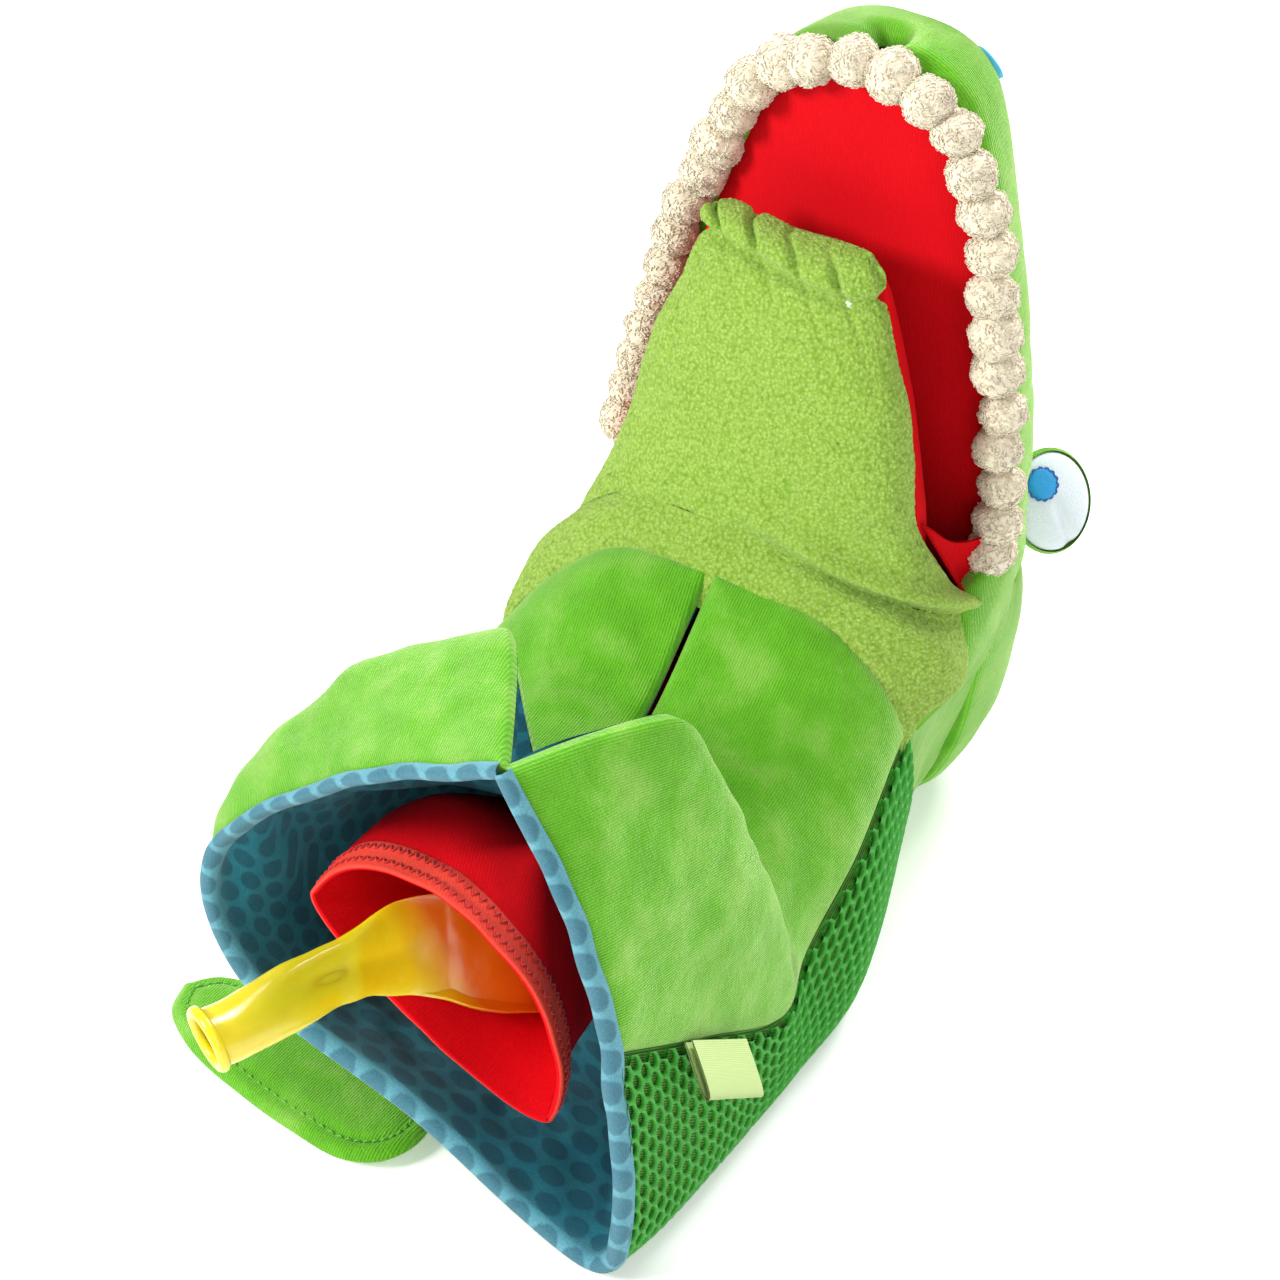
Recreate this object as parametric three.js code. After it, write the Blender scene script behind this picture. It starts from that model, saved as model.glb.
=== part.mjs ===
// A crocodile glove puppet lying on its back with its mouth open: a cloth glove with a split belly,
// a stuffed upper jaw and lower jaw, a gullet sleeve inside the glove and a balloon in the sleeve.
// Millimetres, +Z up. The glove opening faces -Y, the head stands up at the far end.
import * as THREE from 'three';

// Cloth layers, as depths below the outer surface of the glove and the head.
const CLOTH = 2;
const GAP = 0.3;
const LAYER_GAP = 1.3;
const BACKING = [CLOTH + LAYER_GAP, CLOTH + LAYER_GAP + 0.6];
const LINING = [BACKING[1] + LAYER_GAP, BACKING[1] + LAYER_GAP + 1];

// Head: the palate is a plane, the snout is a dome behind it.
const PALATE_Y = 210;
const HEAD_FRONT_Y = 213.5;
const TOOTH_Y = 205.5;
const TOOTH_RADIUS = 6.5;
const TOOTH_COUNT = 29;
const MOUTH_Z = 104;
const CHEEK_TOP_Z = 122;
const NAPE_TOP_Z = 84;
const TIP_Z = 265;
// The head leans a little to the right: sideways shift per millimetre of height above the mouth.
const LEAN = 0.1;
const LEAN_FROM_Z = 165;

// The origin is on the floor, under the middle of the glove's back.
const ORIGIN_Y = 110;

const COLOURS = {
  velour: 0x6fc03c,
  fleece: 0xaad764,
  mesh: 0x4fb93f,
  cloth: 0x8fb52d,
  lining: 0x4f95ab,
  red: 0xd81e1e,
  cream: 0xf2e8d2,
  white: 0xe4ebee,
  blue: 0x0a8fe0,
  lightBlue: 0x67bfe0,
  lime: 0xc8e18c,
  yellow: 0xf2cf1a,
  foam: 0xe9e6dc,
};

const group = new THREE.Group();
group.position.y = -ORIGIN_Y;

function addPart(name, geometry, colour, roughness = 0.9) {
  geometry.computeVertexNormals();
  const material = new THREE.MeshStandardMaterial({ color: COLOURS[colour], roughness, metalness: 0 });
  const mesh = new THREE.Mesh(geometry, material);
  mesh.name = name;
  group.add(mesh);
  return mesh;
}

// ---- Closed bodies from rows of points -------------------------------------------------------

class BodyBuilder {
  constructor() {
    this.points = [];
    this.faces = [];
  }

  addRow(row) {
    const first = this.points.length;
    this.points.push(...row);
    return row.map((_, i) => first + i);
  }

  // Quads between two rows of point numbers; a closed row also joins its last point to its first.
  bridge(rowA, rowB, closed) {
    const count = closed ? rowA.length : rowA.length - 1;
    for (let i = 0; i < count; i += 1) {
      const k = (i + 1) % rowA.length;
      this.faces.push([rowA[i], rowA[k], rowB[k]], [rowA[i], rowB[k], rowB[i]]);
    }
  }

  fan(row) {
    const centre = new THREE.Vector3();
    row.forEach((i) => centre.add(this.points[i]));
    const [tip] = this.addRow([centre.divideScalar(row.length)]);
    row.forEach((i, n) => this.faces.push([i, row[(n + 1) % row.length], tip]));
  }

  volume() {
    const cross = new THREE.Vector3();
    return this.faces.reduce((sum, [a, b, c]) => {
      cross.crossVectors(this.points[b], this.points[c]);
      return sum + this.points[a].dot(cross) / 6;
    }, 0);
  }

  geometry() {
    const outward = this.volume() > 0;
    const index = this.faces.flatMap(([a, b, c]) => (outward ? [a, b, c] : [a, c, b]));
    const geometry = new THREE.BufferGeometry().setFromPoints(this.points);
    geometry.setIndex(index);
    return geometry;
  }
}

// A smooth curve through points, sampled so that it passes through each of them.
function smoothRow(points, steps, closed = false) {
  const curve = new THREE.CatmullRomCurve3(points, closed, 'centripetal');
  const spans = closed ? points.length : points.length - 1;
  const count = spans * steps;
  const samples = closed ? count : count + 1;
  return Array.from({ length: samples }, (_, i) => curve.getPoint(i / count));
}

// A surface through rows of points, with its outward normals. u counts columns, v counts rows.
class Surface {
  constructor(rows, closed, facing) {
    this.rows = rows;
    this.closed = closed;
    this.normals = rows.map((row, j) => row.map((_, i) => this.normalAt(i, j).multiplyScalar(facing)));
  }

  column(row, i) {
    const count = row.length;
    return this.closed ? row[(i + count) % count] : row[Math.min(Math.max(i, 0), count - 1)];
  }

  normalAt(i, j) {
    const { rows } = this;
    const along = this.column(rows[j], i + 1).clone().sub(this.column(rows[j], i - 1));
    const above = rows[Math.min(j + 1, rows.length - 1)];
    const below = rows[Math.max(j - 1, 0)];
    const across = this.column(above, i).clone().sub(this.column(below, i));
    return along.cross(across).normalize();
  }

  vertex(i, j, depth) {
    const point = this.column(this.rows[j], i).clone();
    return point.addScaledVector(this.column(this.normals[j], i), -depth);
  }

  at(u, v, depth) {
    const i = Math.floor(u);
    const j = Math.min(Math.floor(v), this.rows.length - 2);
    const low = this.vertex(i, j, depth).lerp(this.vertex(i + 1, j, depth), u - i);
    const high = this.vertex(i, j + 1, depth).lerp(this.vertex(i + 1, j + 1, depth), u - i);
    return low.lerp(high, v - j);
  }
}

// Whole numbers from first to last, with both ends drawn in a little to leave a seam gap.
function stations(first, last, inset = 0.03) {
  const list = [first + inset];
  for (let n = Math.floor(first) + 1; n < last; n += 1) list.push(n);
  list.push(last - inset);
  return list;
}

// A panel of cloth: the part of a surface between two depths, closed along its edges.
function panel(surface, us, vs, [outerDepth, innerDepth], closed = false) {
  const body = new BodyBuilder();
  const rowsAt = (depth) => vs.map((v) => body.addRow(us.map((u) => surface.at(u, v, depth))));
  const outer = rowsAt(outerDepth);
  const inner = rowsAt(innerDepth);
  for (let j = 0; j + 1 < vs.length; j += 1) {
    body.bridge(outer[j], outer[j + 1], closed);
    body.bridge(inner[j + 1], inner[j], closed);
  }
  body.bridge(inner[0], outer[0], closed);
  body.bridge(outer.at(-1), inner.at(-1), closed);
  if (!closed) {
    const edge = (rows, i) => rows.map((row) => row.at(i));
    body.bridge(edge(outer, 0), edge(inner, 0), false);
    body.bridge(edge(inner, -1), edge(outer, -1), false);
  }
  return body.geometry();
}

// A solid through closed loops; a second list of loops makes a pocket from the first end.
function loft(outerLoops, pocketLoops = []) {
  const body = new BodyBuilder();
  const outer = outerLoops.map((loop) => body.addRow(loop));
  const pocket = pocketLoops.map((loop) => body.addRow(loop));
  for (let j = 0; j + 1 < outer.length; j += 1) body.bridge(outer[j], outer[j + 1], true);
  body.fan(outer.at(-1));
  if (pocket.length === 0) {
    body.fan([...outer[0]].reverse());
    return body.geometry();
  }
  body.bridge(pocket[0], outer[0], true);
  for (let j = 0; j + 1 < pocket.length; j += 1) body.bridge(pocket[j + 1], pocket[j], true);
  body.fan([...pocket.at(-1)].reverse());
  return body.geometry();
}

// ---- Glove ------------------------------------------------------------------------------------
// Each row of places goes once round the glove, from the right edge of the belly slit over the right
// seam, the bottom right corner, the middle of the back, the left corner and the left seam to the
// left edge of the slit. The rows go from the rim over the crest of the turned-up belly flaps, down
// into the fold behind them, and on to the throat.

const GLOVE_ROWS = [
  // rim
  [[32, 0, 166], [52, 0, 130], [64, 0, 85], [60, 0, 3], [-4, 0, 28], [-60, 0, 50], [-70, 0, 88],
    [-20, 0, 140], [29, 0, 166]],
  // middle of the flaps
  [[43, 27, 163], [60, 34, 118], [67, 40, 60], [61, 26, 0], [-2, 22, 18], [-57, 20, 36],
    [-70, 9, 96], [-28, 18, 148], [15, 24, 170]],
  // crest of the flaps
  [[52, 52, 155], [62, 68, 104], [68, 80, 38], [61, 62, 0], [1, 52, 6], [-54, 48, 22],
    [-67, 18, 98], [-34, 33, 150], [1, 46, 168]],
  // bottom of the fold
  [[13, 56, 110], [48, 66, 90], [65, 94, 46], [61, 90, 0], [2, 84, 0], [-53, 74, 12],
    [-66, 40, 84], [-30, 46, 106], [8, 56, 110]],
  // belly
  [[5, 101, 97], [44, 108, 88], [65, 122, 64], [59, 124, 0], [2, 122, 0], [-51, 114, 5],
    [-64, 90, 74], [-34, 96, 96], [2, 101, 97]],
  // throat
  [[1, 146, 122], [37, 152, 113], [61, 154, 84], [39, 168, 0], [1, 166, 0], [-42, 162, 0],
    [-61, 132, 86], [-33, 143, 120], [-2, 146, 122]],
];
const GLOVE_STEPS = 4;
const RIGHT_SEAM = 2 * GLOVE_STEPS;
const LEFT_CORNER = 5 * GLOVE_STEPS;
const LEFT_SEAM = 6 * GLOVE_STEPS;
const SLIT_LEFT = 8 * GLOVE_STEPS;
const ROW_STEPS = 3;
const THROAT = 5 * ROW_STEPS;
const NECK_END = [[56, 196, 80], [27, 197, 0], [0, 197, 0], [-30, 197, 0], [-57, 196, 80]];

const vector = ([x, y, z]) => new THREE.Vector3(x, y, z);

function onFloor(point) {
  point.z = Math.max(point.z, 0);
  return point;
}

// Places in rows made into a fine grid: smooth from row to row, then smooth along each row.
function gridThrough(places, rowSteps, columnSteps) {
  const columns = places[0].map((_, k) => smoothRow(places.map((row) => vector(row[k])), rowSteps));
  return columns[0].map((_, j) => smoothRow(columns.map((column) => column[j]), columnSteps).map(onFloor));
}

const glove = new Surface(gridThrough(GLOVE_ROWS, ROW_STEPS, GLOVE_STEPS), false, 1);
const neckStart = GLOVE_ROWS.at(-1).slice(2, 7);
const neck = new Surface(gridThrough([neckStart, NECK_END], 2, GLOVE_STEPS), false, 1);

function addGlove() {
  const rows = stations(0, THROAT);
  const outer = [0, CLOTH];
  const back = stations(RIGHT_SEAM, LEFT_CORNER);
  addPart('belly_panel_right', panel(glove, stations(0, RIGHT_SEAM), rows, outer), 'velour');
  addPart('belly_panel_left', panel(glove, stations(LEFT_SEAM, SLIT_LEFT), rows, outer), 'velour');
  addPart('side_panel_left', panel(glove, stations(LEFT_CORNER, LEFT_SEAM), rows, outer), 'velour');
  addPart('back_mesh_panel', panel(glove, back, rows, outer), 'mesh');
  addPart('back_backing', panel(glove, back, rows, BACKING), 'cloth');
  addPart('glove_lining', panel(glove, stations(0, SLIT_LEFT), rows, LINING), 'lining');
  addPart('neck_panel', panel(neck, stations(0, 4 * GLOVE_STEPS), stations(0, 2), outer), 'velour');
}

// The fleece band between the throat seam and the corners of the mouth.
const COLLAR_ROWS = [
  [[61, 157, 87], [53, 158, 101], [36, 155, 115], [0, 149, 124], [-36, 149, 121], [-54, 143, 105],
    [-61, 136, 89]],
  [[59, 188, 90], [54, 174, 104], [38, 161, 119], [0, 153, 128], [-38, 156, 124], [-55, 160, 108],
    [-60, 176, 92]],
];

function addCollar() {
  const collar = new Surface(gridThrough(COLLAR_ROWS, 2, 3), false, -1);
  addPart('throat_collar', panel(collar, stations(0, 18), stations(0, 2), [0, CLOTH]), 'fleece');
}

// ---- Gullet sleeve ----------------------------------------------------------------------------
// A slack jersey tube. Each ring has a centre, a long half-axis to its right corner, and the reach of
// its upper and its lower wall from the line between its corners.

const SLEEVE_RINGS = [
  { centre: [0, 6, 65], long: [38, 0, -22.5], up: [16, 3, 33], down: [-4, -3, -6] },
  { centre: [-2, 34, 72], long: [34, 0, -17], up: [6, 3, 30], down: [2, -2, -14] },
  { centre: [2, 76, 58], long: [34, 0, -8], up: [2, 2, 20], down: [0, -2, -17] },
  { centre: [2, 112, 52], long: [36, 0, 0], up: [0, 0, 16], down: [0, 0, -16] },
  { centre: [0, 146, 72], long: [34, 0, 0], up: [0, -4, 15], down: [0, 4, -15] },
];
const SLEEVE_SIDES = 20;
const SLEEVE_ROW_STEPS = 2;
const SLEEVE_CLOTH = 1.2;

function slackRing({ centre, long, up, down }, sides) {
  return Array.from({ length: sides }, (_, i) => {
    const angle = (2 * Math.PI * i) / sides;
    return vector(centre)
      .addScaledVector(vector(long), Math.cos(angle))
      .addScaledVector(vector(up), Math.max(Math.sin(angle), 0))
      .addScaledVector(vector(down), Math.max(-Math.sin(angle), 0));
  });
}

function addSleeve() {
  const rings = SLEEVE_RINGS.map((ring) => slackRing(ring, SLEEVE_SIDES));
  const columns = rings[0].map((_, i) => smoothRow(rings.map((ring) => ring[i]), SLEEVE_ROW_STEPS));
  const rows = columns[0].map((_, j) => columns.map((column) => column[j]));
  const sleeve = new Surface(rows, true, -1);
  const around = Array.from({ length: SLEEVE_SIDES }, (_, i) => i);
  const length = rows.length - 1;
  const outside = [-SLEEVE_CLOTH - GAP, -GAP];
  addPart('gullet_sleeve', panel(sleeve, around, stations(0, length), [0, SLEEVE_CLOTH], true), 'red');
  addPart('sleeve_hem', panel(sleeve, around, [0.03, 0.6], outside, true), 'red');
}

// ---- Head -------------------------------------------------------------------------------------
// Level sections of the head: height, half width at the front edge, depth behind the front edge.

const HEAD_SECTIONS = [
  [0, 24, 28], [12, 38, 43], [30, 48, 54], [52, 54, 59], [NAPE_TOP_Z, 59, 52], [MOUTH_Z, 62, 44],
  [CHEEK_TOP_Z, 62, 39], [142, 60, 36], [165, 56, 33], [190, 50.5, 31], [214, 44, 29], [236, 37, 28],
  [250, 31, 27], [259, 22, 22], [TIP_Z, 8, 10],
];
const HEAD_COLUMNS = 20;
const HEAD_SQUARENESS = 2.7;

function leanAt(z) {
  const above = LEAN * (Math.max(z, MOUTH_Z) - LEAN_FROM_Z);
  return above * Math.min(z / MOUTH_Z, 1);
}

function leaned(point) {
  point.x += leanAt(point.z);
  return point;
}

// Half of a rounded rectangle behind the front edge, from the right side round to the left.
function headArc(z, halfWidth, depth, frontY) {
  return Array.from({ length: HEAD_COLUMNS + 1 }, (_, i) => {
    const angle = (Math.PI * i) / HEAD_COLUMNS;
    const power = 2 / HEAD_SQUARENESS;
    const x = Math.sign(Math.cos(angle)) * Math.abs(Math.cos(angle)) ** power;
    return leaned(new THREE.Vector3(halfWidth * x, frontY + depth * Math.sin(angle) ** power, z));
  });
}

const headRows = HEAD_SECTIONS.map(([z, halfWidth, depth]) => headArc(z, halfWidth, depth, HEAD_FRONT_Y));
const head = new Surface(headRows, false, 1);
const headRow = (z) => HEAD_SECTIONS.findIndex(([height]) => height === z);

function addHeadShells() {
  const outer = [0, CLOTH];
  const mouthRow = headRow(NAPE_TOP_Z);
  const cheekRow = headRow(CHEEK_TOP_Z);
  const cheekRows = stations(mouthRow, cheekRow);
  const all = stations(0, HEAD_COLUMNS);
  addPart('nape_panel', panel(head, all, stations(0, mouthRow), outer), 'velour');
  addPart('cheek_right', panel(head, stations(0, 6), cheekRows, outer), 'velour');
  addPart('crown_panel', panel(head, stations(6, HEAD_COLUMNS - 6), cheekRows, outer), 'velour');
  addPart('cheek_left', panel(head, stations(HEAD_COLUMNS - 6, HEAD_COLUMNS), cheekRows, outer), 'velour');
  addPart('snout_shell', panel(head, all, stations(cheekRow, HEAD_SECTIONS.length - 1), outer), 'velour');
}

// The stuffing of the upper jaw, with the pocket for the fingers.
const FILLING_ROWS = HEAD_SECTIONS.filter(([z]) => z >= MOUTH_Z && z < 240);
const POCKET_ROWS = FILLING_ROWS.filter(([z]) => z < 200);
const POCKET_WALL = { side: 15, front: 6, back: 9 };

function closedHeadLoop([z, halfWidth, depth], { side, front, back }) {
  return headArc(z, halfWidth - side, depth - front - back, HEAD_FRONT_Y + front);
}

function grownWall(wall, amount) {
  return { side: wall.side + amount, front: wall.front + amount, back: wall.back + amount };
}

function addUpperJawInside() {
  const loops = (rows, wall) => rows.map((row) => closedHeadLoop(row, wall));
  const skin = { side: CLOTH + 2 * GAP, front: 0, back: CLOTH + 2 * GAP };
  const pocketOuter = loops(POCKET_ROWS, grownWall(POCKET_WALL, GAP));
  const pocketInner = loops(POCKET_ROWS, grownWall(POCKET_WALL, GAP + 1.2));
  const raised = (loop, i, list) => (i === list.length - 1 ? loop.map((p) => p.setZ(p.z - 2)) : loop);
  addPart('upper_jaw_filling', loft(loops(FILLING_ROWS, skin), loops(POCKET_ROWS, POCKET_WALL)), 'foam');
  addPart('finger_pocket', loft(pocketOuter.map(raised), shortened(pocketInner, 4)), 'cloth');
}

// The same loops with the last one lowered, so that a pocket's end keeps its wall.
function shortened(loops, amount) {
  const lowered = loops.at(-1).map((p) => p.clone().setZ(p.z - amount));
  return [...loops.slice(0, -1), lowered];
}

// The U-shaped edge of the palate, from the right corner of the mouth over the tip to the left.
const JAW_EDGE = [
  [63, 108], [62, 130], [57.5, 162], [51, 192], [44, 216], [36.5, 238], [25, 252], [0, 258],
];

function jawEdge(inset) {
  const right = JAW_EDGE.slice(0, -1).map(([x, z], i) => [x - inset, z - (i > 4 ? inset * 0.7 : 0)]);
  const [tipX, tipZ] = JAW_EDGE.at(-1);
  const left = [...right].reverse().map(([x, z]) => [-x, z]);
  return [...right, [tipX, tipZ - inset], ...left];
}

function addPalate() {
  const corners = jawEdge(8).map(([x, z]) => new THREE.Vector3(x + leanAt(z), z, 0));
  const edge = smoothRow(corners, 3);
  const shape = new THREE.Shape(edge.map((p) => new THREE.Vector2(p.x, p.y)));
  const geometry = new THREE.ExtrudeGeometry(shape, { depth: CLOTH, bevelEnabled: false, steps: 1 });
  geometry.rotateX(Math.PI / 2);
  geometry.translate(0, PALATE_Y + CLOTH, 0);
  addPart('palate', geometry, 'red');
}

// A chain of pompom teeth: a round cord whose thickness swells at every tooth.
function addTeeth() {
  const points = jawEdge(0).map(([x, z]) => leaned(new THREE.Vector3(x, TOOTH_Y, z)));
  const curve = new THREE.CatmullRomCurve3(points, false, 'centripetal');
  const stepsPerTooth = 4;
  const sides = 8;
  const loops = [];
  for (let step = 0; step <= TOOTH_COUNT * stepsPerTooth; step += 1) {
    const t = step / (TOOTH_COUNT * stepsPerTooth);
    const centre = curve.getPointAt(t);
    const side = curve.getTangentAt(t).cross(new THREE.Vector3(0, 1, 0)).normalize();
    const swell = Math.abs(Math.sin((Math.PI * step) / stepsPerTooth));
    const radius = TOOTH_RADIUS * (0.62 + 0.38 * swell);
    loops.push(Array.from({ length: sides }, (_, i) => {
      const angle = (2 * Math.PI * i) / sides;
      const point = centre.clone().addScaledVector(side, radius * Math.cos(angle));
      return point.setY(point.y + Math.min(radius * Math.sin(angle), PALATE_Y + CLOTH - TOOTH_Y));
    }));
  }
  addPart('tooth_strip', loft(loops), 'cream');
}

// ---- Eyes and nostrils ------------------------------------------------------------------------

const EYE = {
  centre: [60.5, 253.5, 102], facing: [0.9, -0.25, 0.35], wide: 12.5, tall: 15, back: 7, face: 5.5,
};
const IRIS = { radius: 5, thickness: 1.2, forward: 4, up: 5.5 };
const NOSTRIL = { centre: [22, 237, 251], facing: [0.45, 0.75, 0.5], radius: 5.5, thickness: 1.2 };

// A domed pad with an oval outline: flat at the bottom, its dome towards +Y of its own frame.
function dome(wide, tall, height, sides = 18) {
  const steps = 5;
  const profile = [new THREE.Vector2(0, 0)];
  for (let i = 0; i <= steps; i += 1) {
    const angle = (Math.PI / 2) * (i / steps);
    profile.push(new THREE.Vector2(i === steps ? 0 : Math.cos(angle), height * Math.sin(angle)));
  }
  const geometry = new THREE.LatheGeometry(profile, sides);
  geometry.scale(wide, 1, tall);
  return geometry;
}

// Turns +Y of a pad's own frame to the direction that it faces, with +Z of that frame upwards.
function placePad(geometry, { centre, facing }, side, behind = false) {
  const out = new THREE.Vector3(side * facing[0], facing[1], facing[2]).normalize();
  const y = behind ? out.clone().negate() : out;
  const x = y.clone().cross(new THREE.Vector3(0, 0, 1)).normalize();
  const turn = new THREE.Matrix4().makeBasis(x, y, x.clone().cross(y));
  geometry.applyMatrix4(turn);
  geometry.translate(side * centre[0] + leanAt(centre[2]), centre[1], centre[2]);
  return geometry;
}

// The iris lies on the dome of the eye, tilted with it, a little above and in front of its middle.
function irisGeometry(side) {
  const { wide, tall, face } = EYE;
  const { radius, thickness, forward, up } = IRIS;
  const x = side * forward;
  const height = face * Math.sqrt(1 - (x / wide) ** 2 - (up / tall) ** 2);
  const slope = new THREE.Vector3(x / wide ** 2, height / face ** 2, up / tall ** 2).normalize();
  const iris = new THREE.CylinderGeometry(radius, radius, thickness, 16);
  iris.translate(0, thickness / 2 + 2 * GAP, 0);
  iris.applyQuaternion(new THREE.Quaternion().setFromUnitVectors(new THREE.Vector3(0, 1, 0), slope));
  iris.translate(x, height + GAP, up);
  return iris;
}

function addFace() {
  for (const [name, side] of [['right', 1], ['left', -1]]) {
    const white = dome(EYE.wide, EYE.tall, EYE.face);
    white.translate(0, GAP, 0);
    const nostril = dome(NOSTRIL.radius, NOSTRIL.radius, NOSTRIL.thickness, 14);
    addPart(`eye_back_${name}`, placePad(dome(EYE.wide, EYE.tall, EYE.back), EYE, side, true), 'velour');
    addPart(`eye_white_${name}`, placePad(white, EYE, side), 'white');
    addPart(`iris_${name}`, placePad(irisGeometry(side), EYE, side), 'blue', 0.5);
    addPart(`nostril_${name}`, placePad(nostril, NOSTRIL, side), 'lightBlue');
  }
}

// ---- Lower jaw --------------------------------------------------------------------------------
// Sections from the open end to the tip: front edge and back edge as [y, z], and half width.

const JAW_SECTIONS = [
  { front: [163, 158], back: [196, 114], halfWidth: 47 },
  { front: [166, 174], back: [197, 140], halfWidth: 43.5 },
  { front: [171, 189], back: [197, 168], halfWidth: 38 },
  { front: [176, 201], back: [196, 192], halfWidth: 32 },
  { front: [179, 206], back: [194, 206], halfWidth: 29 },
];
const JAW_SIDES = 24;

function jawLoop({ front, back, halfWidth }, wall) {
  const middle = [(front[0] + back[0]) / 2, (front[1] + back[1]) / 2];
  const half = [(back[0] - front[0]) / 2, (back[1] - front[1]) / 2];
  const halfDepth = Math.hypot(...half);
  const scale = (halfDepth - wall) / halfDepth;
  return Array.from({ length: JAW_SIDES }, (_, i) => {
    const angle = (2 * Math.PI * i) / JAW_SIDES;
    const across = Math.sign(Math.cos(angle)) * Math.abs(Math.cos(angle)) ** 0.8;
    const deep = Math.sign(Math.sin(angle)) * Math.abs(Math.sin(angle)) ** 0.8 * scale;
    return new THREE.Vector3(
      (halfWidth - wall) * across,
      middle[0] + half[0] * deep,
      middle[1] + half[1] * deep,
    );
  });
}

function addLowerJaw() {
  const loops = (wall, count) => JAW_SECTIONS.slice(0, count).map((section) => jawLoop(section, wall));
  const skinWall = CLOTH + GAP;
  const thumbWall = 7;
  const all = JAW_SECTIONS.length;
  const pocketInner = loops(thumbWall + GAP + 1.2, 3);
  const fillingOuter = shortened(loops(skinWall, all), 2 * skinWall);
  addPart('chin_shell', loft(loops(0, all), shortened(loops(CLOTH, all), CLOTH)), 'fleece');
  addPart('lower_jaw_filling', loft(fillingOuter, loops(thumbWall, 3)), 'foam');
  addPart('thumb_pocket', loft(shortened(loops(thumbWall + GAP, 3), 1), shortened(pocketInner, 3)), 'cloth');
}

function addMouthFloor() {
  const rows = JAW_SECTIONS.map(({ back, halfWidth }) => {
    const reach = halfWidth * 0.62;
    const places = [reach, reach / 2, 0, -reach / 2, -reach];
    return places.map((x) => new THREE.Vector3(x, back[0] + GAP, back[1]));
  });
  const floor = new Surface(rows, false, 1);
  const us = stations(0, 4, 0);
  const vs = stations(0, rows.length - 1, 0);
  addPart('mouth_floor', panel(floor, us, vs, [-1.5, 0]), 'red');
}

// ---- Tail, label and balloon ------------------------------------------------------------------

const TAIL = { rootX: -14, rootY: 9, length: 92, width: 36, thickness: 8, turn: 0.17 };

function addTail() {
  const half = TAIL.width / 2;
  const outline = [
    [0, 8], [-12, 14], [-40, half], [-70, half - 1], [-86, 10], [-TAIL.length, 0], [-86, -10],
    [-70, 1 - half], [-40, -half], [-12, -14], [0, -8],
  ];
  const points = smoothRow(outline.map(([x, y]) => new THREE.Vector3(x, y, 0)), 2);
  const shape = new THREE.Shape(points.map((p) => new THREE.Vector2(p.x, p.y)));
  const bevel = 2;
  const geometry = new THREE.ExtrudeGeometry(shape, {
    depth: TAIL.thickness - 2 * bevel, steps: 1, bevelThickness: bevel, bevelSize: bevel,
    bevelOffset: -bevel, bevelSegments: 1,
  });
  geometry.translate(0, 0, bevel);
  const tail = addPart('tail', geometry, 'velour');
  tail.rotation.z = -TAIL.turn;
  tail.position.set(TAIL.rootX, TAIL.rootY, 0);
}

// A folded loop of ribbon standing out from the right seam.
const LABEL = { start: [70, 31, 66], end: [71.5, 52, 50], out: [9, -3, -8], width: 4 };

function addLabel() {
  const start = vector(LABEL.start);
  const along = vector(LABEL.end).sub(start);
  const out = vector(LABEL.out);
  const up = along.clone().cross(out).normalize();
  const profile = [[0, 0.5], [0.6, 0.5], [1, 0], [0.6, -0.5], [0, -0.5]];
  const inner = [[0, 0.3], [0.55, 0.3], [0.88, 0], [0.55, -0.3], [0, -0.3]];
  const place = (base, [reach, lift]) => base.clone().addScaledVector(out, reach)
    .addScaledVector(up, lift * LABEL.width);
  const loop = [...profile, ...inner.reverse()];
  const ends = [start, start.clone().add(along)];
  const body = new BodyBuilder();
  const rows = ends.map((base) => body.addRow(loop.map((p) => place(base, p))));
  body.bridge(rows[0], rows[1], true);
  const last = loop.length - 1;
  for (let i = 0; i < profile.length - 1; i += 1) {
    body.bridge([rows[0][last - i], rows[0][last - i - 1]], [rows[0][i], rows[0][i + 1]], false);
    body.bridge([rows[1][i], rows[1][i + 1]], [rows[1][last - i], rows[1][last - i - 1]], false);
  }
  addPart('woven_label', body.geometry(), 'lime');
}

// The balloon: rolled lip, neck and flattened bag, along a bent line into the sleeve.
const BALLOON = [
  { at: [-25, -55, 89], wide: 8.6, thick: 8.6 },
  { at: [-24, -53, 88.6], wide: 10, thick: 10 },
  { at: [-23, -51, 88.2], wide: 8.6, thick: 8.6 },
  { at: [-19, -32, 86.5], wide: 8.8, thick: 6.5 },
  { at: [-15.5, -12, 84], wide: 8, thick: 5 },
  { at: [-9, 6, 82], wide: 12.5, thick: 4.5 },
  { at: [3, 18, 78], wide: 16, thick: 4.5 },
  { at: [14, 32, 72], wide: 18, thick: 5 },
  { at: [20, 47, 66], wide: 16, thick: 5 },
  { at: [23, 58, 62], wide: 8, thick: 4 },
];
const BALLOON_WALL = 1.4;
const BALLOON_AXIS = [0.355, 0.907, -0.224];
const BALLOON_ACROSS = [-0.4, 0.36, 0.83];

function balloonLoop({ at, wide, thick }, wall) {
  const axis = vector(BALLOON_AXIS).normalize();
  const across = vector(BALLOON_ACROSS);
  across.addScaledVector(axis, -across.dot(axis)).normalize();
  const up = across.clone().cross(axis);
  const long = across.multiplyScalar(wide - wall).toArray();
  const short = up.multiplyScalar(thick - wall);
  return slackRing({ centre: at, long, up: short.toArray(), down: short.clone().negate().toArray() }, 14);
}

function addBalloon() {
  const outer = BALLOON.map((ring) => balloonLoop(ring, 0));
  const inner = BALLOON.slice(0, -1).map((ring) => balloonLoop(ring, BALLOON_WALL));
  addPart('balloon', loft(outer, inner), 'yellow', 0.35);
}

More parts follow.
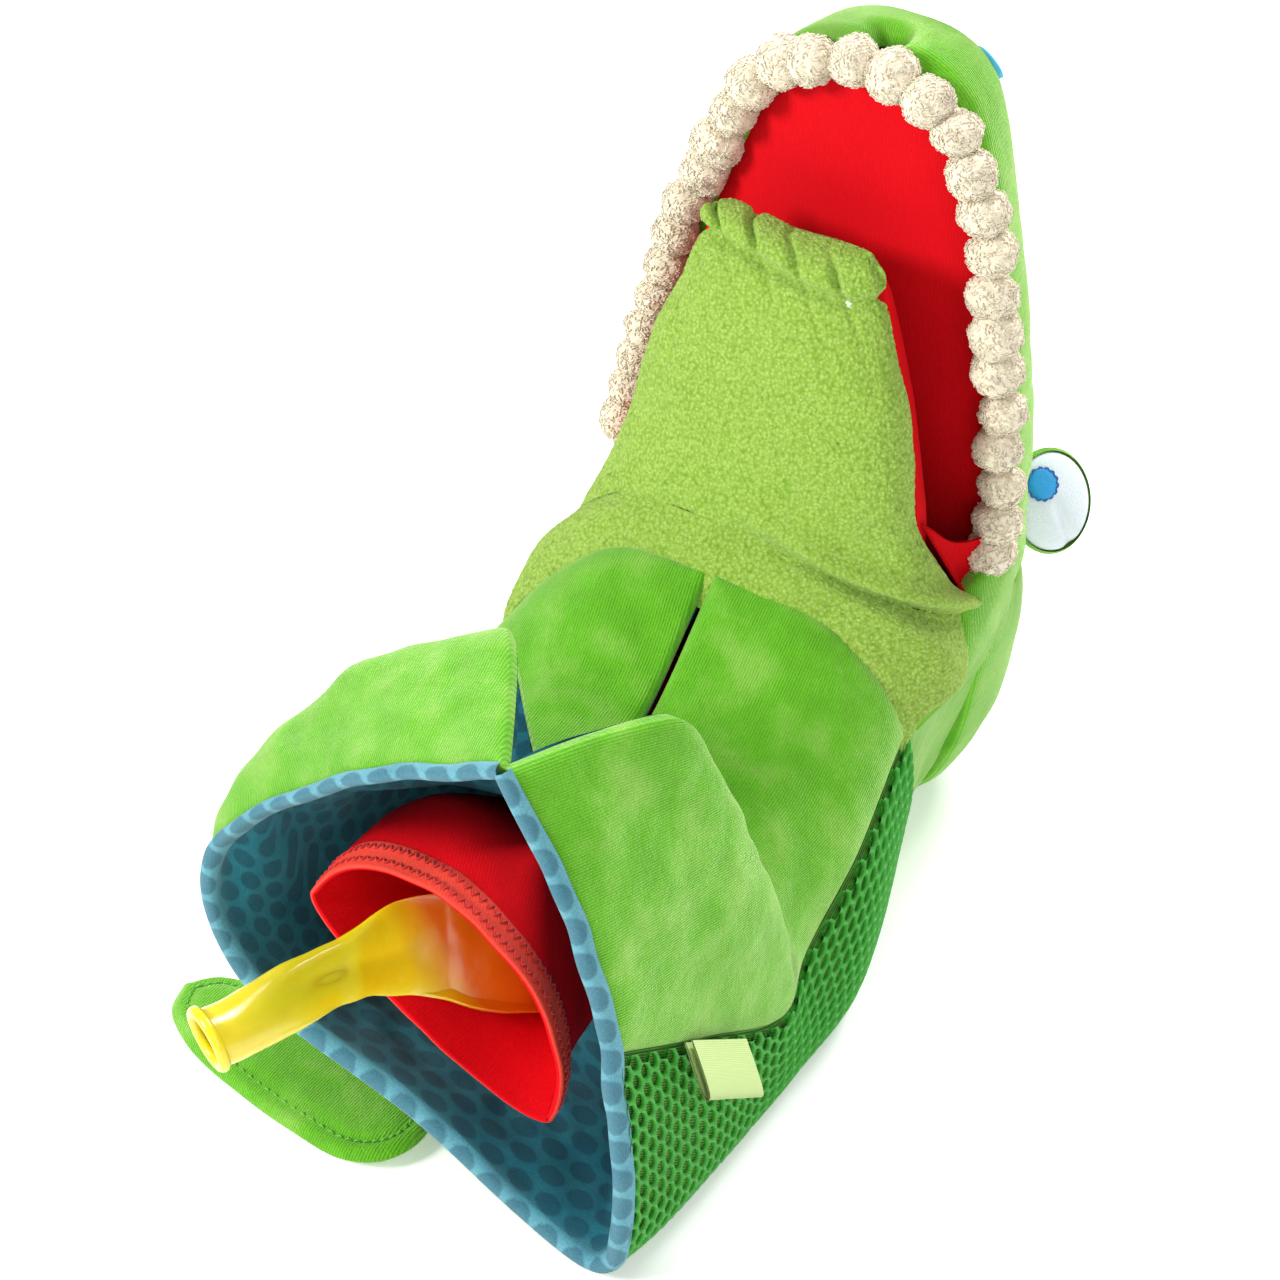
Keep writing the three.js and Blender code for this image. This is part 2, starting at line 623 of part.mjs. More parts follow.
addGlove();
addCollar();
addSleeve();
addHeadShells();
addUpperJawInside();
addPalate();
addTeeth();
addFace();
addLowerJaw();
addMouthFloor();
addTail();
addLabel();
addBalloon();

export default group;
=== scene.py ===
"""A crocodile glove puppet lying on its back with its mouth open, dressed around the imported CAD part.

Shapes are given in millimetres, with the glove's rim in the plane y = 0, and are moved to the row frame
when their meshes are made. The cloth panels follow the same rows of places as the CAD panels.
"""

import math

import bmesh
import bpy
import numpy as np
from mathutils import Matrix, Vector, noise


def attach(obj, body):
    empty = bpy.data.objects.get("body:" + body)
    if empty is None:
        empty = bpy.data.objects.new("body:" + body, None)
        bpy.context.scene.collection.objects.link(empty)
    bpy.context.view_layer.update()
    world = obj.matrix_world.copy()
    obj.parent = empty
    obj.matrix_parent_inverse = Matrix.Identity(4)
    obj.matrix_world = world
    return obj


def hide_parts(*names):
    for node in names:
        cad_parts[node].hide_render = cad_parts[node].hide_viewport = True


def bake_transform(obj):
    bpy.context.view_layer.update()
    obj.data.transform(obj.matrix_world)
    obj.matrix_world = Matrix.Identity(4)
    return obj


MM = 0.001
ORIGIN = np.array([0.0, 110.0, 0.0])
FLOOR_CLEARANCE = 0.2

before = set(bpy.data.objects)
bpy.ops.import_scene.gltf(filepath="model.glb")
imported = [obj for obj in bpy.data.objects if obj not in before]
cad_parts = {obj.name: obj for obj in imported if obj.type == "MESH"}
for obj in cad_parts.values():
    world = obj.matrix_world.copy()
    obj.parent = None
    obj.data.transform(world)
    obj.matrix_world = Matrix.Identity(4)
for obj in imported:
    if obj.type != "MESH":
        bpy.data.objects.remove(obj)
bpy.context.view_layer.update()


# ---- Curves, grids and meshes -----------------------------------------------------------------


def along(points, at):
    """Points of the centripetal Catmull-Rom curve that runs through the first axis of points."""
    p = np.asarray(points, float)
    where = np.asarray(at, float)
    q = np.concatenate([[2 * p[0] - p[1]], p, [2 * p[-1] - p[-2]]])
    span = np.minimum(where.astype(int), len(p) - 2)
    t = (where - span).reshape(-1, *[1] * (p.ndim - 1))
    a, b, c, d = (q[span + k] for k in range(4))
    before, here, after = (knot_gap(m, n) for m, n in ((a, b), (b, c), (c, d)))
    start = ((b - a) / before - (c - a) / (before + here) + (c - b) / here) * here
    stop = ((c - b) / here - (d - b) / (here + after) + (d - c) / after) * here
    square = 3 * (c - b) - 2 * start - stop
    cube = 2 * (b - c) + start + stop
    return b + start * t + square * t**2 + cube * t**3


def knot_gap(a, b):
    """Spacing of two knots of the curve, never zero."""
    return np.maximum(np.linalg.norm(b - a, axis=-1, keepdims=True), 1e-4) ** 0.5


def surface(places, us, vs):
    """A grid of rows vs and columns us on the smooth surface through rows of places."""
    rows = along(places, vs)
    return np.swapaxes(along(np.swapaxes(rows, 0, 1), us), 0, 1)


def stations(first, last, count):
    """Evenly spaced stations, with extra ones close to both ends, where cloth is turned in."""
    even = np.linspace(first, last, count + 1)
    extra = (even[1] - even[0]) * np.array([0.12, 0.35, 0.65])
    return np.sort(np.concatenate([even, first + extra, last - extra]))


def unit(vectors):
    return vectors / np.maximum(np.linalg.norm(vectors, axis=-1, keepdims=True), 1e-9)


def grid_normals(points, facing):
    """Directions square to the grid at each point. facing is 1 or -1 and picks the side."""
    return facing * unit(np.cross(np.gradient(points, axis=1), np.gradient(points, axis=0)))


def run_length(points, axis):
    """Length along the grid from its first row or column, at each point."""
    steps = np.linalg.norm(np.diff(points, axis=axis), axis=-1)
    total = np.cumsum(steps, axis=axis)
    return np.concatenate([np.zeros_like(np.take(total, [0], axis=axis)), total], axis=axis)


def noise_at(points, size, seed=0.0):
    """Smooth noise from -1 to 1 with bumps of about that size, at each point."""
    flat = points.reshape(-1, 3) / size + seed
    values = [noise.noise(Vector(p)) for p in flat.tolist()]
    return np.array(values).reshape(points.shape[:-1])


def mesh_object(name, points, faces, uvs=None):
    """An object from points in millimetres. uvs holds each point's place on the cloth, in millimetres."""
    mesh = bpy.data.meshes.new(name)
    placed = (np.asarray(points, float) - ORIGIN) * MM
    mesh.from_pydata(placed.tolist(), [], faces)
    mesh.polygons.foreach_set("use_smooth", [True] * len(mesh.polygons))
    if uvs is not None:
        layer = mesh.uv_layers.new(name="cloth")
        corners = np.empty(len(mesh.loops), int)
        mesh.loops.foreach_get("vertex_index", corners)
        layer.data.foreach_set("uv", (np.asarray(uvs, float) * MM)[corners].ravel())
    mesh.update()
    obj = bpy.data.objects.new(name, mesh)
    bpy.context.scene.collection.objects.link(obj)
    return obj


def grid_faces(rows, columns, closed=False, flip=False, looped=False):
    """Faces of a grid. A closed grid goes round along each row, and a looped one along each column."""
    index = np.arange(rows * columns).reshape(rows, columns)
    if closed:
        index = np.concatenate([index, index[:, :1]], axis=1)
    if looped:
        index = np.concatenate([index, index[:1]])
    quads = [index[:-1, :-1], index[:-1, 1:], index[1:, 1:], index[1:, :-1]]
    if flip:
        quads.reverse()
    return np.stack(quads, axis=-1).reshape(-1, 4).tolist()


def grid_object(name, points, uvs, closed=False, flip=False, looped=False):
    """A mesh object from a grid of points, rows first."""
    rows, columns = points.shape[:2]
    faces = grid_faces(rows, columns, closed, flip, looped)
    return mesh_object(name, points.reshape(-1, 3), faces, uvs.reshape(-1, 2))


def roll(distance, radius):
    """How far a rounded edge has dropped at that distance from the fold."""
    inside = np.maximum(radius - distance, 0)
    return radius - np.sqrt(np.maximum(radius**2 - inside**2, 0))


ALL_EDGES = "left right first last"


def edge_distance(across, up, edges):
    """Distance to the nearest of the named edges of a grid."""
    found = {
        "left": across,
        "right": across[:, -1:] - across,
        "first": up,
        "last": up[-1:] - up,
    }
    named = [found[edge] for edge in edges.split()]
    return np.minimum.reduce(named) if named else np.full_like(across, 1e3)


def cloth(name, places, u, v, count, facing=1, depth=0.0, turn=1.6, tuck=3.5, under=0.0, edges=ALL_EDGES,
          relief=None):
    """A panel of cloth on the surface through places. Its named edges are rounded.

    All its edges are tucked in by the length tuck, and the last one by under more.
    """
    base = surface(places, stations(*u, count[0]), stations(*v, count[1]))
    normal = grid_normals(base, facing)
    across, up = run_length(base, 1), run_length(base, 0)
    to_edge = edge_distance(across, up, edges)
    height = -depth - roll(to_edge, turn)
    if relief is not None:
        height = height + relief(base, across, up, to_edge)
    ring = ((1, 1), (1, 1))
    lowered = np.pad(height, ring, mode="edge")
    border = np.ones_like(lowered, bool)
    border[1:-1, 1:-1] = False
    lowered[border] -= tuck
    lowered[-1] -= under
    base = np.pad(base, (*ring, (0, 0)), mode="edge")
    normal = np.pad(normal, (*ring, (0, 0)), mode="edge")
    points = base + normal * lowered[..., None]
    points[..., 2] = np.maximum(points[..., 2], FLOOR_CLEARANCE)
    uvs = np.stack([np.pad(across, ring, mode="edge"), np.pad(up, ring, mode="edge")], axis=-1)
    return grid_object(name, points, uvs, flip=facing < 0)


def tubes(name, paths, radius, sides=6, up=(0, 0, 1)):
    """Round threads along many paths of equal point count, as one mesh with closed ends."""
    paths = np.asarray(paths, float)
    count, steps = paths.shape[:2]
    tangent = unit(np.gradient(paths, axis=1))
    side = unit(np.cross(tangent, np.broadcast_to(np.asarray(up, float), paths.shape)))
    lift = np.cross(side, tangent)
    angle = 2 * np.pi * np.arange(sides) / sides
    ring = side[:, :, None] * np.cos(angle)[:, None] + lift[:, :, None] * np.sin(angle)[:, None]
    width = np.broadcast_to(np.asarray(radius, float), (count, steps))[:, :, None, None]
    points = (paths[:, :, None] + ring * width).reshape(-1, 3)
    one = np.array(grid_faces(steps, sides, closed=True))
    faces = (one[None] + (np.arange(count) * steps * sides)[:, None, None]).reshape(-1, 4).tolist()
    for k in range(count):
        first = k * steps * sides
        faces.append([first + i for i in reversed(range(sides))])
        faces.append([first + (steps - 1) * sides + i for i in range(sides)])
    return mesh_object(name, points, faces)


def evenly(points, spacing):
    """The line through points, resampled at about that spacing."""
    length = run_length(points[None], 1)[0]
    count = max(2, round(length[-1] / spacing) + 1)
    where = np.linspace(0, length[-1], count)
    return np.stack([np.interp(where, length, points[:, k]) for k in range(3)], axis=-1)


# ---- Materials --------------------------------------------------------------------------------


class Recipe:
    """A material built from nodes, with cloth coordinates in millimetres."""

    def __init__(self, name, **sockets):
        self.material = bpy.data.materials.new(name)
        self.material.use_nodes = True
        self.tree = self.material.node_tree
        self.shader = self.tree.nodes["Principled BSDF"]
        for socket, value in sockets.items():
            self.shader.inputs[socket.replace("_", " ")].default_value = value

    def node(self, kind, inputs=None, **settings):
        made = self.tree.nodes.new(kind)
        for key, value in settings.items():
            setattr(made, key, value)
        for key, value in (inputs or {}).items():
            if isinstance(value, bpy.types.NodeSocket):
                self.tree.links.new(value, made.inputs[key])
            else:
                made.inputs[key].default_value = value
        return made

    def coordinates(self, on_cloth=False, scale=(1, 1, 1)):
        source = self.node("ShaderNodeTexCoord").outputs["UV" if on_cloth else "Object"]
        per_mm = [s / MM for s in scale]
        return self.node("ShaderNodeMapping", {"Vector": source, "Scale": per_mm}).outputs[0]

    def noise(self, size, detail=3.0, roughness=0.6, scale=(1, 1, 1), on_cloth=False):
        vector = self.coordinates(on_cloth, scale)
        settings = {"Vector": vector, "Scale": 1 / size, "Detail": detail, "Roughness": roughness}
        return self.node("ShaderNodeTexNoise", settings).outputs["Fac"]

    def cells(self, size, feature="F1", scale=(1, 1, 1), on_cloth=False, randomness=1.0):
        vector = self.coordinates(on_cloth, scale)
        settings = {"Vector": vector, "Scale": 1 / size, "Randomness": randomness}
        return self.node("ShaderNodeTexVoronoi", settings, feature=feature).outputs["Distance"]

    def ribs(self, period, direction="X", on_cloth=True, distortion=0.0):
        vector = self.coordinates(on_cloth)
        settings = {"Vector": vector, "Scale": math.pi / (10 * period), "Distortion": distortion}
        settings["Detail Scale"] = 2.0
        return self.node("ShaderNodeTexWave", settings, bands_direction=direction).outputs["Fac"]

    def math(self, operation, a, b=0.0):
        return self.node("ShaderNodeMath", {0: a, 1: b}, operation=operation).outputs[0]

    def ramp(self, factor, *stops):
        node = self.node("ShaderNodeValToRGB", {"Fac": factor})
        elements = node.color_ramp.elements
        for element, (position, colour) in zip(elements, (stops[0], stops[-1])):
            element.position, element.color = position, (*colour, 1)
        for position, colour in stops[1:-1]:
            elements.new(position).color = (*colour, 1)
        return node.outputs["Color"]

    def mix(self, factor, a, b):
        node = self.node("ShaderNodeMix", {"Factor": factor}, data_type="RGBA")
        for socket, value in ((node.inputs[6], a), (node.inputs[7], b)):
            if isinstance(value, bpy.types.NodeSocket):
                self.tree.links.new(value, socket)
            else:
                socket.default_value = (*value, 1)
        return node.outputs[2]

    def colour(self, value):
        self.tree.links.new(value, self.shader.inputs["Base Color"])
        return self

    def bump(self, *layers):
        """Layers are (height, distance in millimetres), from the coarsest to the finest."""
        normal = None
        for height, distance in layers:
            inputs = {"Height": height, "Distance": distance * MM, "Strength": 1.0}
            if normal is not None:
                inputs["Normal"] = normal
            normal = self.node("ShaderNodeBump", inputs).outputs[0]
        self.tree.links.new(normal, self.shader.inputs["Normal"])
        return self


def tone(colour, factor):
    """The colour made lighter or darker."""
    return tuple(c * factor for c in colour)


GREEN = (0.13, 0.46, 0.018)
# Painted highlight colour of the velour's nap patches.
SHEEN_LIME = (0.33, 0.60, 0.11)
RED = (0.62, 0.0025, 0.007)
CORAL = (0.88, 0.070, 0.045)
CREAM = (0.84, 0.76, 0.59)


def velour_material():
    """Short nap cloth: fine ribs along its length, and patches of painted highlight and painted shade, as a
    brushed nap shows them.
    """
    recipe = Recipe("velour", Roughness=0.9, Sheen_Weight=1.0, Sheen_Roughness=0.4, Specular_IOR_Level=0.1)
    recipe.shader.inputs["Sheen Tint"].default_value = (0.80, 1.0, 0.50, 1)
    nap = recipe.noise(0.6, 3.0)
    bump_and_sheen_patches = recipe.noise(15.0, 5.0, 0.55)
    ribs = recipe.ribs(0.8, distortion=1.0)
    shade = recipe.math("ADD", recipe.math("MULTIPLY", nap, 0.6), recipe.math("MULTIPLY", ribs, 0.4))
    fine = recipe.ramp(shade, (0.25, tone(GREEN, 0.62)), (0.75, tone(GREEN, 1.30)))
    # Patches of painted highlight and painted shade: lime where a brushed nap would catch the light, darker
    # green where it would not.
    painted_sheen_patch = recipe.ramp(bump_and_sheen_patches, (0.34, tone(GREEN, 0.85)), (0.48, tone(GREEN, 1.05)), (0.68, SHEEN_LIME))
    recipe.colour(recipe.mix(0.50, fine, painted_sheen_patch))
    return recipe.bump((bump_and_sheen_patches, 1.6), (ribs, 0.16), (nap, 0.35)).material


def fleece_material():
    """Curly fleece: small tufts with painted shade in the hollows between them."""
    recipe = Recipe("fleece", Roughness=0.97, Sheen_Weight=0.35, Sheen_Roughness=0.5, Specular_IOR_Level=0.1)
    recipe.shader.inputs["Sheen Tint"].default_value = (0.92, 1.0, 0.6, 1)
    curls = recipe.cells(1.1)
    fuzz = recipe.noise(0.8, 6.0, 0.75)
    depth = recipe.math("ADD", recipe.math("MULTIPLY", curls, 0.4), recipe.math("MULTIPLY", fuzz, 0.7))
    # The darker stops are painted shade in the hollows between the tufts.
    stops = ((0.34, (0.50, 0.70, 0.17)), (0.56, (0.33, 0.53, 0.065)), (0.78, (0.19, 0.38, 0.028)))
    recipe.colour(recipe.ramp(depth, *stops))
    low = recipe.math("SUBTRACT", 1.0, curls)
    return recipe.bump((low, 0.5), (fuzz, 0.6)).material


def strand_material():
    """Shiny knitted strands of the spacer mesh."""
    recipe = Recipe("mesh_strands", Roughness=0.42, Specular_IOR_Level=0.35)
    twist = recipe.noise(0.35, 2.0, scale=(1, 1, 2))
    recipe.colour(recipe.ramp(twist, (0.3, (0.012, 0.25, 0.010)), (0.7, (0.08, 0.48, 0.05))))
    return recipe.bump((twist, 0.25)).material


def rib_material():
    """Ribbed knit that shows through the holes of the mesh."""
    recipe = Recipe("backing_ribs", Roughness=0.85)
    ribs = recipe.ribs(0.9)
    recipe.colour(recipe.ramp(ribs, (0.2, (0.02, 0.13, 0.006)), (0.8, (0.11, 0.33, 0.025))))
    return recipe.bump((ribs, 0.35)).material


def jersey(name, colour, dark, period=0.9, sheen=0.0):
    """Fine knitted jersey."""
    recipe = Recipe(name, Roughness=0.85, Sheen_Weight=sheen, Specular_IOR_Level=0.08)
    ribs = recipe.ribs(period, distortion=0.6)
    fuzz = recipe.noise(0.8, 4.0, 0.7)
    level = recipe.math("ADD", recipe.math("MULTIPLY", ribs, 0.15), recipe.math("MULTIPLY", fuzz, 0.85))
    recipe.colour(recipe.ramp(level, (0.25, dark), (0.65, colour)))
    return recipe.bump((ribs, 0.04), (fuzz, 0.12)).material


def dotted_material():
    """Blue jersey printed with rows of darker round dots, with painted light on the paler band near the rim
    and painted shade in the teal further in.
    """
    recipe = Recipe("dotted_jersey", Roughness=0.9, Sheen_Weight=0.15, Specular_IOR_Level=0.1)
    pitch = 10.4
    vector = recipe.coordinates(True, (1 / pitch, 1 / (0.87 * pitch), 1))
    split = recipe.node("ShaderNodeSeparateXYZ", {0: vector})
    row = recipe.math("FLOOR", split.outputs[1])
    shifted = recipe.math("ADD", split.outputs[0], recipe.math("MULTIPLY", row, 0.5))
    across = recipe.math("SUBTRACT", recipe.math("FRACT", shifted), 0.5)
    up = recipe.math("SUBTRACT", recipe.math("FRACT", split.outputs[1]), 0.5)
    squares = recipe.math("ADD", recipe.math("POWER", across, 2.0), recipe.math("POWER", up, 2.0))
    ragged = recipe.math("MULTIPLY", recipe.noise(2.5, 3.0), 0.12)
    distance = recipe.math("ADD", recipe.math("SQRT", squares), ragged)
    dots = recipe.ramp(distance, (0.42, (1, 1, 1)), (0.50, (0, 0, 0)))
    weave = recipe.noise(0.5, 4.0, 0.7)
    blotch = recipe.noise(14.0, 3.0)
    wear = recipe.math("ADD", recipe.math("MULTIPLY", weave, 0.6), recipe.math("MULTIPLY", blotch, 0.4))
    # Lit and shaded copies of the lining's blue: painted light on the rim band, painted shade further in.
    lit_pale = recipe.ramp(wear, (0.35, (0.07, 0.25, 0.33)), (0.65, (0.17, 0.42, 0.48)))
    shaded_teal = recipe.ramp(wear, (0.35, (0.012, 0.17, 0.23)), (0.65, (0.04, 0.30, 0.38)))
    # Painted shade takes over further in from the rim.
    inward = recipe.node("ShaderNodeSeparateXYZ", {0: recipe.coordinates(True)}).outputs[1]
    edge = recipe.math("ADD", inward, recipe.math("MULTIPLY", blotch, 8.0))
    depth = recipe.ramp(recipe.math("MULTIPLY", edge, 0.03), (0.30, (0, 0, 0)), (0.50, (1, 1, 1)))
    ground = recipe.mix(depth, lit_pale, shaded_teal)
    printed = recipe.mix(0.50, ground, (0.008, 0.05, 0.09))
    recipe.colour(recipe.mix(dots, ground, printed))
    return recipe.bump((weave, 0.2)).material


def chenille_material():
    """Cream chenille, with painted shade between its curls."""
    recipe = Recipe("chenille", Roughness=0.95, Sheen_Weight=0.3, Specular_IOR_Level=0.1)
    curls = recipe.noise(0.9, 4.0, 0.7)
    # The brown stop is painted shade between the curls.
    recipe.colour(recipe.ramp(curls, (0.25, (0.70, 0.56, 0.37)), (0.52, CREAM), (0.8, (0.92, 0.87, 0.75))))
    return recipe.bump((curls, 0.35)).material


def plush_material(name, colour, dark, tint):
    """Short plush with a fine nap. tint colours its sheen."""
    recipe = Recipe(name, Roughness=0.95, Sheen_Weight=0.5, Sheen_Roughness=0.4, Specular_IOR_Level=0.15)
    recipe.shader.inputs["Sheen Tint"].default_value = (*tint, 1)
    nap = recipe.noise(0.45, 3.0)
    recipe.colour(recipe.ramp(nap, (0.3, dark), (0.7, colour)))
    return recipe.bump((nap, 0.2)).material


def thread_material(name, colour, dark, roughness=0.45):
    """Twisted sewing thread."""
    recipe = Recipe(name, Roughness=roughness, Sheen_Weight=0.2, Specular_IOR_Level=0.5)
    twist = recipe.noise(0.25, 1.0, scale=(2, 1, 1))
    recipe.colour(recipe.ramp(twist, (0.3, dark), (0.7, colour)))
    return recipe.bump((twist, 0.08)).material


def ribbon_material():
    """Pale woven ribbon without any print."""
    recipe = Recipe("ribbon", Roughness=0.7, Specular_IOR_Level=0.3)
    weft = recipe.ribs(0.35, "Y")
    warp = recipe.ribs(0.5, "X")
    weave = recipe.math("MULTIPLY", weft, warp)
    recipe.colour(recipe.ramp(weave, (0.1, (0.50, 0.66, 0.24)), (0.7, (0.74, 0.86, 0.44))))
    return recipe.bump((weave, 0.12)).material


def latex_material():
    """Glossy yellow rubber, with painted shade and painted red reflection of the sleeve making it orange
    towards the bag of the balloon.
    """
    recipe = Recipe("latex", Roughness=0.23, Specular_IOR_Level=0.6, Subsurface_Weight=0.35, Coat_Weight=0.3)
    recipe.shader.inputs["Subsurface Radius"].default_value = (3 * MM, 2 * MM, 0.3 * MM)
    recipe.shader.inputs["Subsurface Scale"].default_value = 1.0
    recipe.shader.inputs["Coat Roughness"].default_value = 0.12
    cloud = recipe.noise(7.0, 3.0)
    yellow = recipe.ramp(cloud, (0.3, (0.80, 0.64, 0.006)), (0.7, (0.84, 0.72, 0.012)))
    # Painted shade and painted red reflection from the sleeve: the rubber turns orange deeper inside the
    # glove.
    inward = recipe.node("ShaderNodeSeparateXYZ", {0: recipe.coordinates()}).outputs[1]
    depth = recipe.math("MULTIPLY", recipe.math("ADD", inward, 125.0), 0.02)
    inside = recipe.ramp(depth, (0.40, (0, 0, 0)), (0.62, (1, 1, 1)))
    recipe.colour(recipe.mix(inside, yellow, (0.58, 0.13, 0.001)))
    return recipe.bump((recipe.noise(2.2, 2.0), 0.06)).material


def floor_material():
    recipe = Recipe("pale_floor", Roughness=0.9, Specular_IOR_Level=0.1)
    grain = recipe.noise(40.0, 2.0)
    recipe.colour(recipe.ramp(grain, (0.3, (0.90, 0.90, 0.90)), (0.7, (0.93, 0.93, 0.93))))
    recipe.shader.inputs["Emission Color"].default_value = (1, 1, 1, 1)
    recipe.shader.inputs["Emission Strength"].default_value = 0.3
    return recipe.material


VELOUR = velour_material()
FLEECE = fleece_material()
STRANDS = strand_material()
BACKING_RIBS = rib_material()
DOTTED = dotted_material()
PALATE_RED = jersey("palate_jersey", RED, tone(RED, 0.85))
# The sleeve's jersey is the palate red made 1.3 times lighter: painted light on cloth that lies in the shade
# of the flaps.
LIGHTENED_SLEEVE_RED = jersey("lightened_sleeve_jersey", tone(RED, 1.3), RED)
HEM_RED = jersey("hem_jersey", CORAL, tone(CORAL, 0.8), 0.8)
CHENILLE = chenille_material()
WHITE_PLUSH = plush_material("white_plush", (0.80, 0.85, 0.88), (0.62, 0.70, 0.75), (1, 1, 1))
BLUE_PLUSH = plush_material("light_blue_plush", (0.14, 0.56, 0.78), (0.07, 0.40, 0.62), (0.8, 0.95, 1))
POCKET = jersey("pocket_cloth", (0.40, 0.55, 0.16), (0.28, 0.42, 0.10))
FILLING = plush_material("polyester_filling", (0.90, 0.90, 0.88), (0.75, 0.75, 0.73), (1, 1, 1))
BLUE_THREAD = thread_material("blue_thread", (0.005, 0.42, 0.85), (0.0, 0.25, 0.62))
DARK_THREAD = thread_material("dark_blue_thread", (0.0, 0.12, 0.42), (0.0, 0.06, 0.25))
GREEN_THREAD = thread_material("green_thread", (0.16, 0.58, 0.05), (0.08, 0.38, 0.02))
RED_THREAD = thread_material("red_thread", (0.70, 0.022, 0.018), (0.50, 0.010, 0.008), 0.8)
RIBBON = ribbon_material()
LATEX = latex_material()


def dress(obj, material, slot, body, *nodes):
    """Gives a piece its material and body, and hides the CAD nodes it stands for."""
    obj.data.materials.append(material)
    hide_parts(*nodes)
    if body is not None:
        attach(obj, body)
    return obj


def sewn(obj, held, *rests_on):
    """Reads the cloth coordinates of a panel, which are its flat cut, and the loops of its faces, and does
    nothing more with them.
    """
    mesh = obj.data
    flat = np.empty(2 * len(mesh.loops))
    mesh.uv_layers["cloth"].data.foreach_get("uv", flat)
    flat = flat.reshape(-1, 2)
    start, total = np.empty(len(mesh.polygons), int), np.empty(len(mesh.polygons), int)
    mesh.polygons.foreach_get("loop_start", start)
    mesh.polygons.foreach_get("loop_total", total)


# ---- Glove ------------------------------------------------------------------------------------
# Each row of places goes once round the glove, from the right edge of the belly slit over the right
# seam, the bottom right corner, the middle of the back, the left corner and the left seam to the left
# edge of the slit. The rows go from the rim over the turned-up flaps and the fold to the throat.

GLOVE_ROWS = [
    # rim
    [[32, 0, 166], [52, 0, 130], [64, 0, 85], [60, 0, 3], [-4, 0, 28], [-60, 0, 50], [-70, 0, 88],
     [-20, 0, 140], [29, 0, 166]],
    # middle of the flaps
    [[43, 27, 163], [60, 34, 118], [67, 40, 60], [61, 26, 0], [-2, 22, 18], [-57, 20, 36],
     [-70, 9, 96], [-28, 18, 148], [15, 24, 170]],
    # crest of the flaps
    [[52, 52, 155], [62, 68, 104], [68, 80, 38], [61, 62, 0], [1, 52, 6], [-54, 48, 22],
     [-67, 18, 98], [-34, 33, 150], [1, 46, 168]],
    # bottom of the fold
    [[13, 56, 110], [48, 66, 90], [65, 94, 46], [61, 90, 0], [2, 84, 0], [-53, 74, 12],
     [-66, 40, 84], [-30, 46, 106], [8, 56, 110]],
    # belly
    [[5, 101, 97], [44, 108, 88], [65, 122, 64], [59, 124, 0], [2, 122, 0], [-51, 114, 5],
     [-64, 90, 74], [-34, 96, 96], [2, 101, 97]],
    # throat
    [[1, 146, 122], [37, 152, 113], [61, 154, 84], [39, 168, 0], [1, 166, 0], [-42, 162, 0],
     [-61, 132, 86], [-33, 143, 120], [-2, 146, 122]],
]
GLOVE = np.array(GLOVE_ROWS, float)
RIGHT_SEAM, LEFT_CORNER, LEFT_SEAM, SLIT_LEFT, THROAT = 2, 5, 6, 8, 5


def soft(amount, size, pinch=1.3, seed=0.0):
    """Relief of loose cloth: shallow folds, drawn in along its seams."""

    def relief(base, _across, _up, to_edge):
        folds = noise_at(base, size, seed) + 0.45 * noise_at(base, size * 0.42, seed + 7)
        seam = -pinch * np.exp(-to_edge / 2.6) + 0.9 * (1 - np.exp(-to_edge / 9))
        return amount * folds * (1 - np.exp(-to_edge / 7)) + seam

    return relief


def bend_with_neck(piece):
    """Bakes the piece's placement into its mesh."""
    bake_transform(piece)


def add_velour_panels():
    """The two belly panels with their Z folds, and the gusset on the left."""
    panels = [
        ("belly_velour_right", (0, RIGHT_SEAM), (96, 170), 1.5, 3.0, "belly_panel_right"),
        ("belly_velour_left", (LEFT_SEAM, SLIT_LEFT), (110, 170), 2.2, 11.0, "belly_panel_left"),
        ("side_velour_left", (LEFT_CORNER, LEFT_SEAM), (48, 160), 0.9, 23.0, "side_panel_left"),
    ]
    for name, span, count, amount, seed, node in panels:
        relief = soft(amount, 24, seed=seed)
        made = cloth(name, GLOVE, span, (0, THROAT), count, tuck=1.6, under=5.0, relief=relief)
        dress(made, VELOUR, "velour", None, node)
        sewn(made, "draped", "dotted_lining")
        bend_with_neck(made)


def resampled(points):
    """The grid respaced so that rows and columns are evenly spaced along the cloth."""
    for axis in (1, 0):
        grid = np.swapaxes(points, 0, axis) if axis == 1 else points
        length = run_length(grid, 0)
        share = length / length[-1:]
        even = np.linspace(0, 1, grid.shape[0])
        out = np.empty_like(grid)
        for j in range(grid.shape[1]):
            for k in range(3):
                out[:, j, k] = np.interp(even, share[:, j], grid[:, j, k])
        points = np.swapaxes(out, 0, 1) if axis == 1 else out
    return points


def on_grid(grid, us, vs):
    """Values between the points of a grid, for us and vs from 0 to 1."""
    rows, columns = grid.shape[:2]
    x = np.clip(us, 0, 1) * (columns - 1)
    y = np.clip(vs, 0, 1) * (rows - 1)
    i = np.minimum(x.astype(int), columns - 2)
    j = np.minimum(y.astype(int), rows - 2)
    s, t = (x - i)[..., None], (y - j)[..., None]
    low = grid[j, i] * (1 - s) + grid[j, i + 1] * s
    high = grid[j + 1, i] * (1 - s) + grid[j + 1, i + 1] * s
    return low * (1 - t) + high * t


MESH_CELL = 5.3
HOLE_SHARE = 0.76
HOLE_SIDES = 12
ROW_PITCH = 0.866


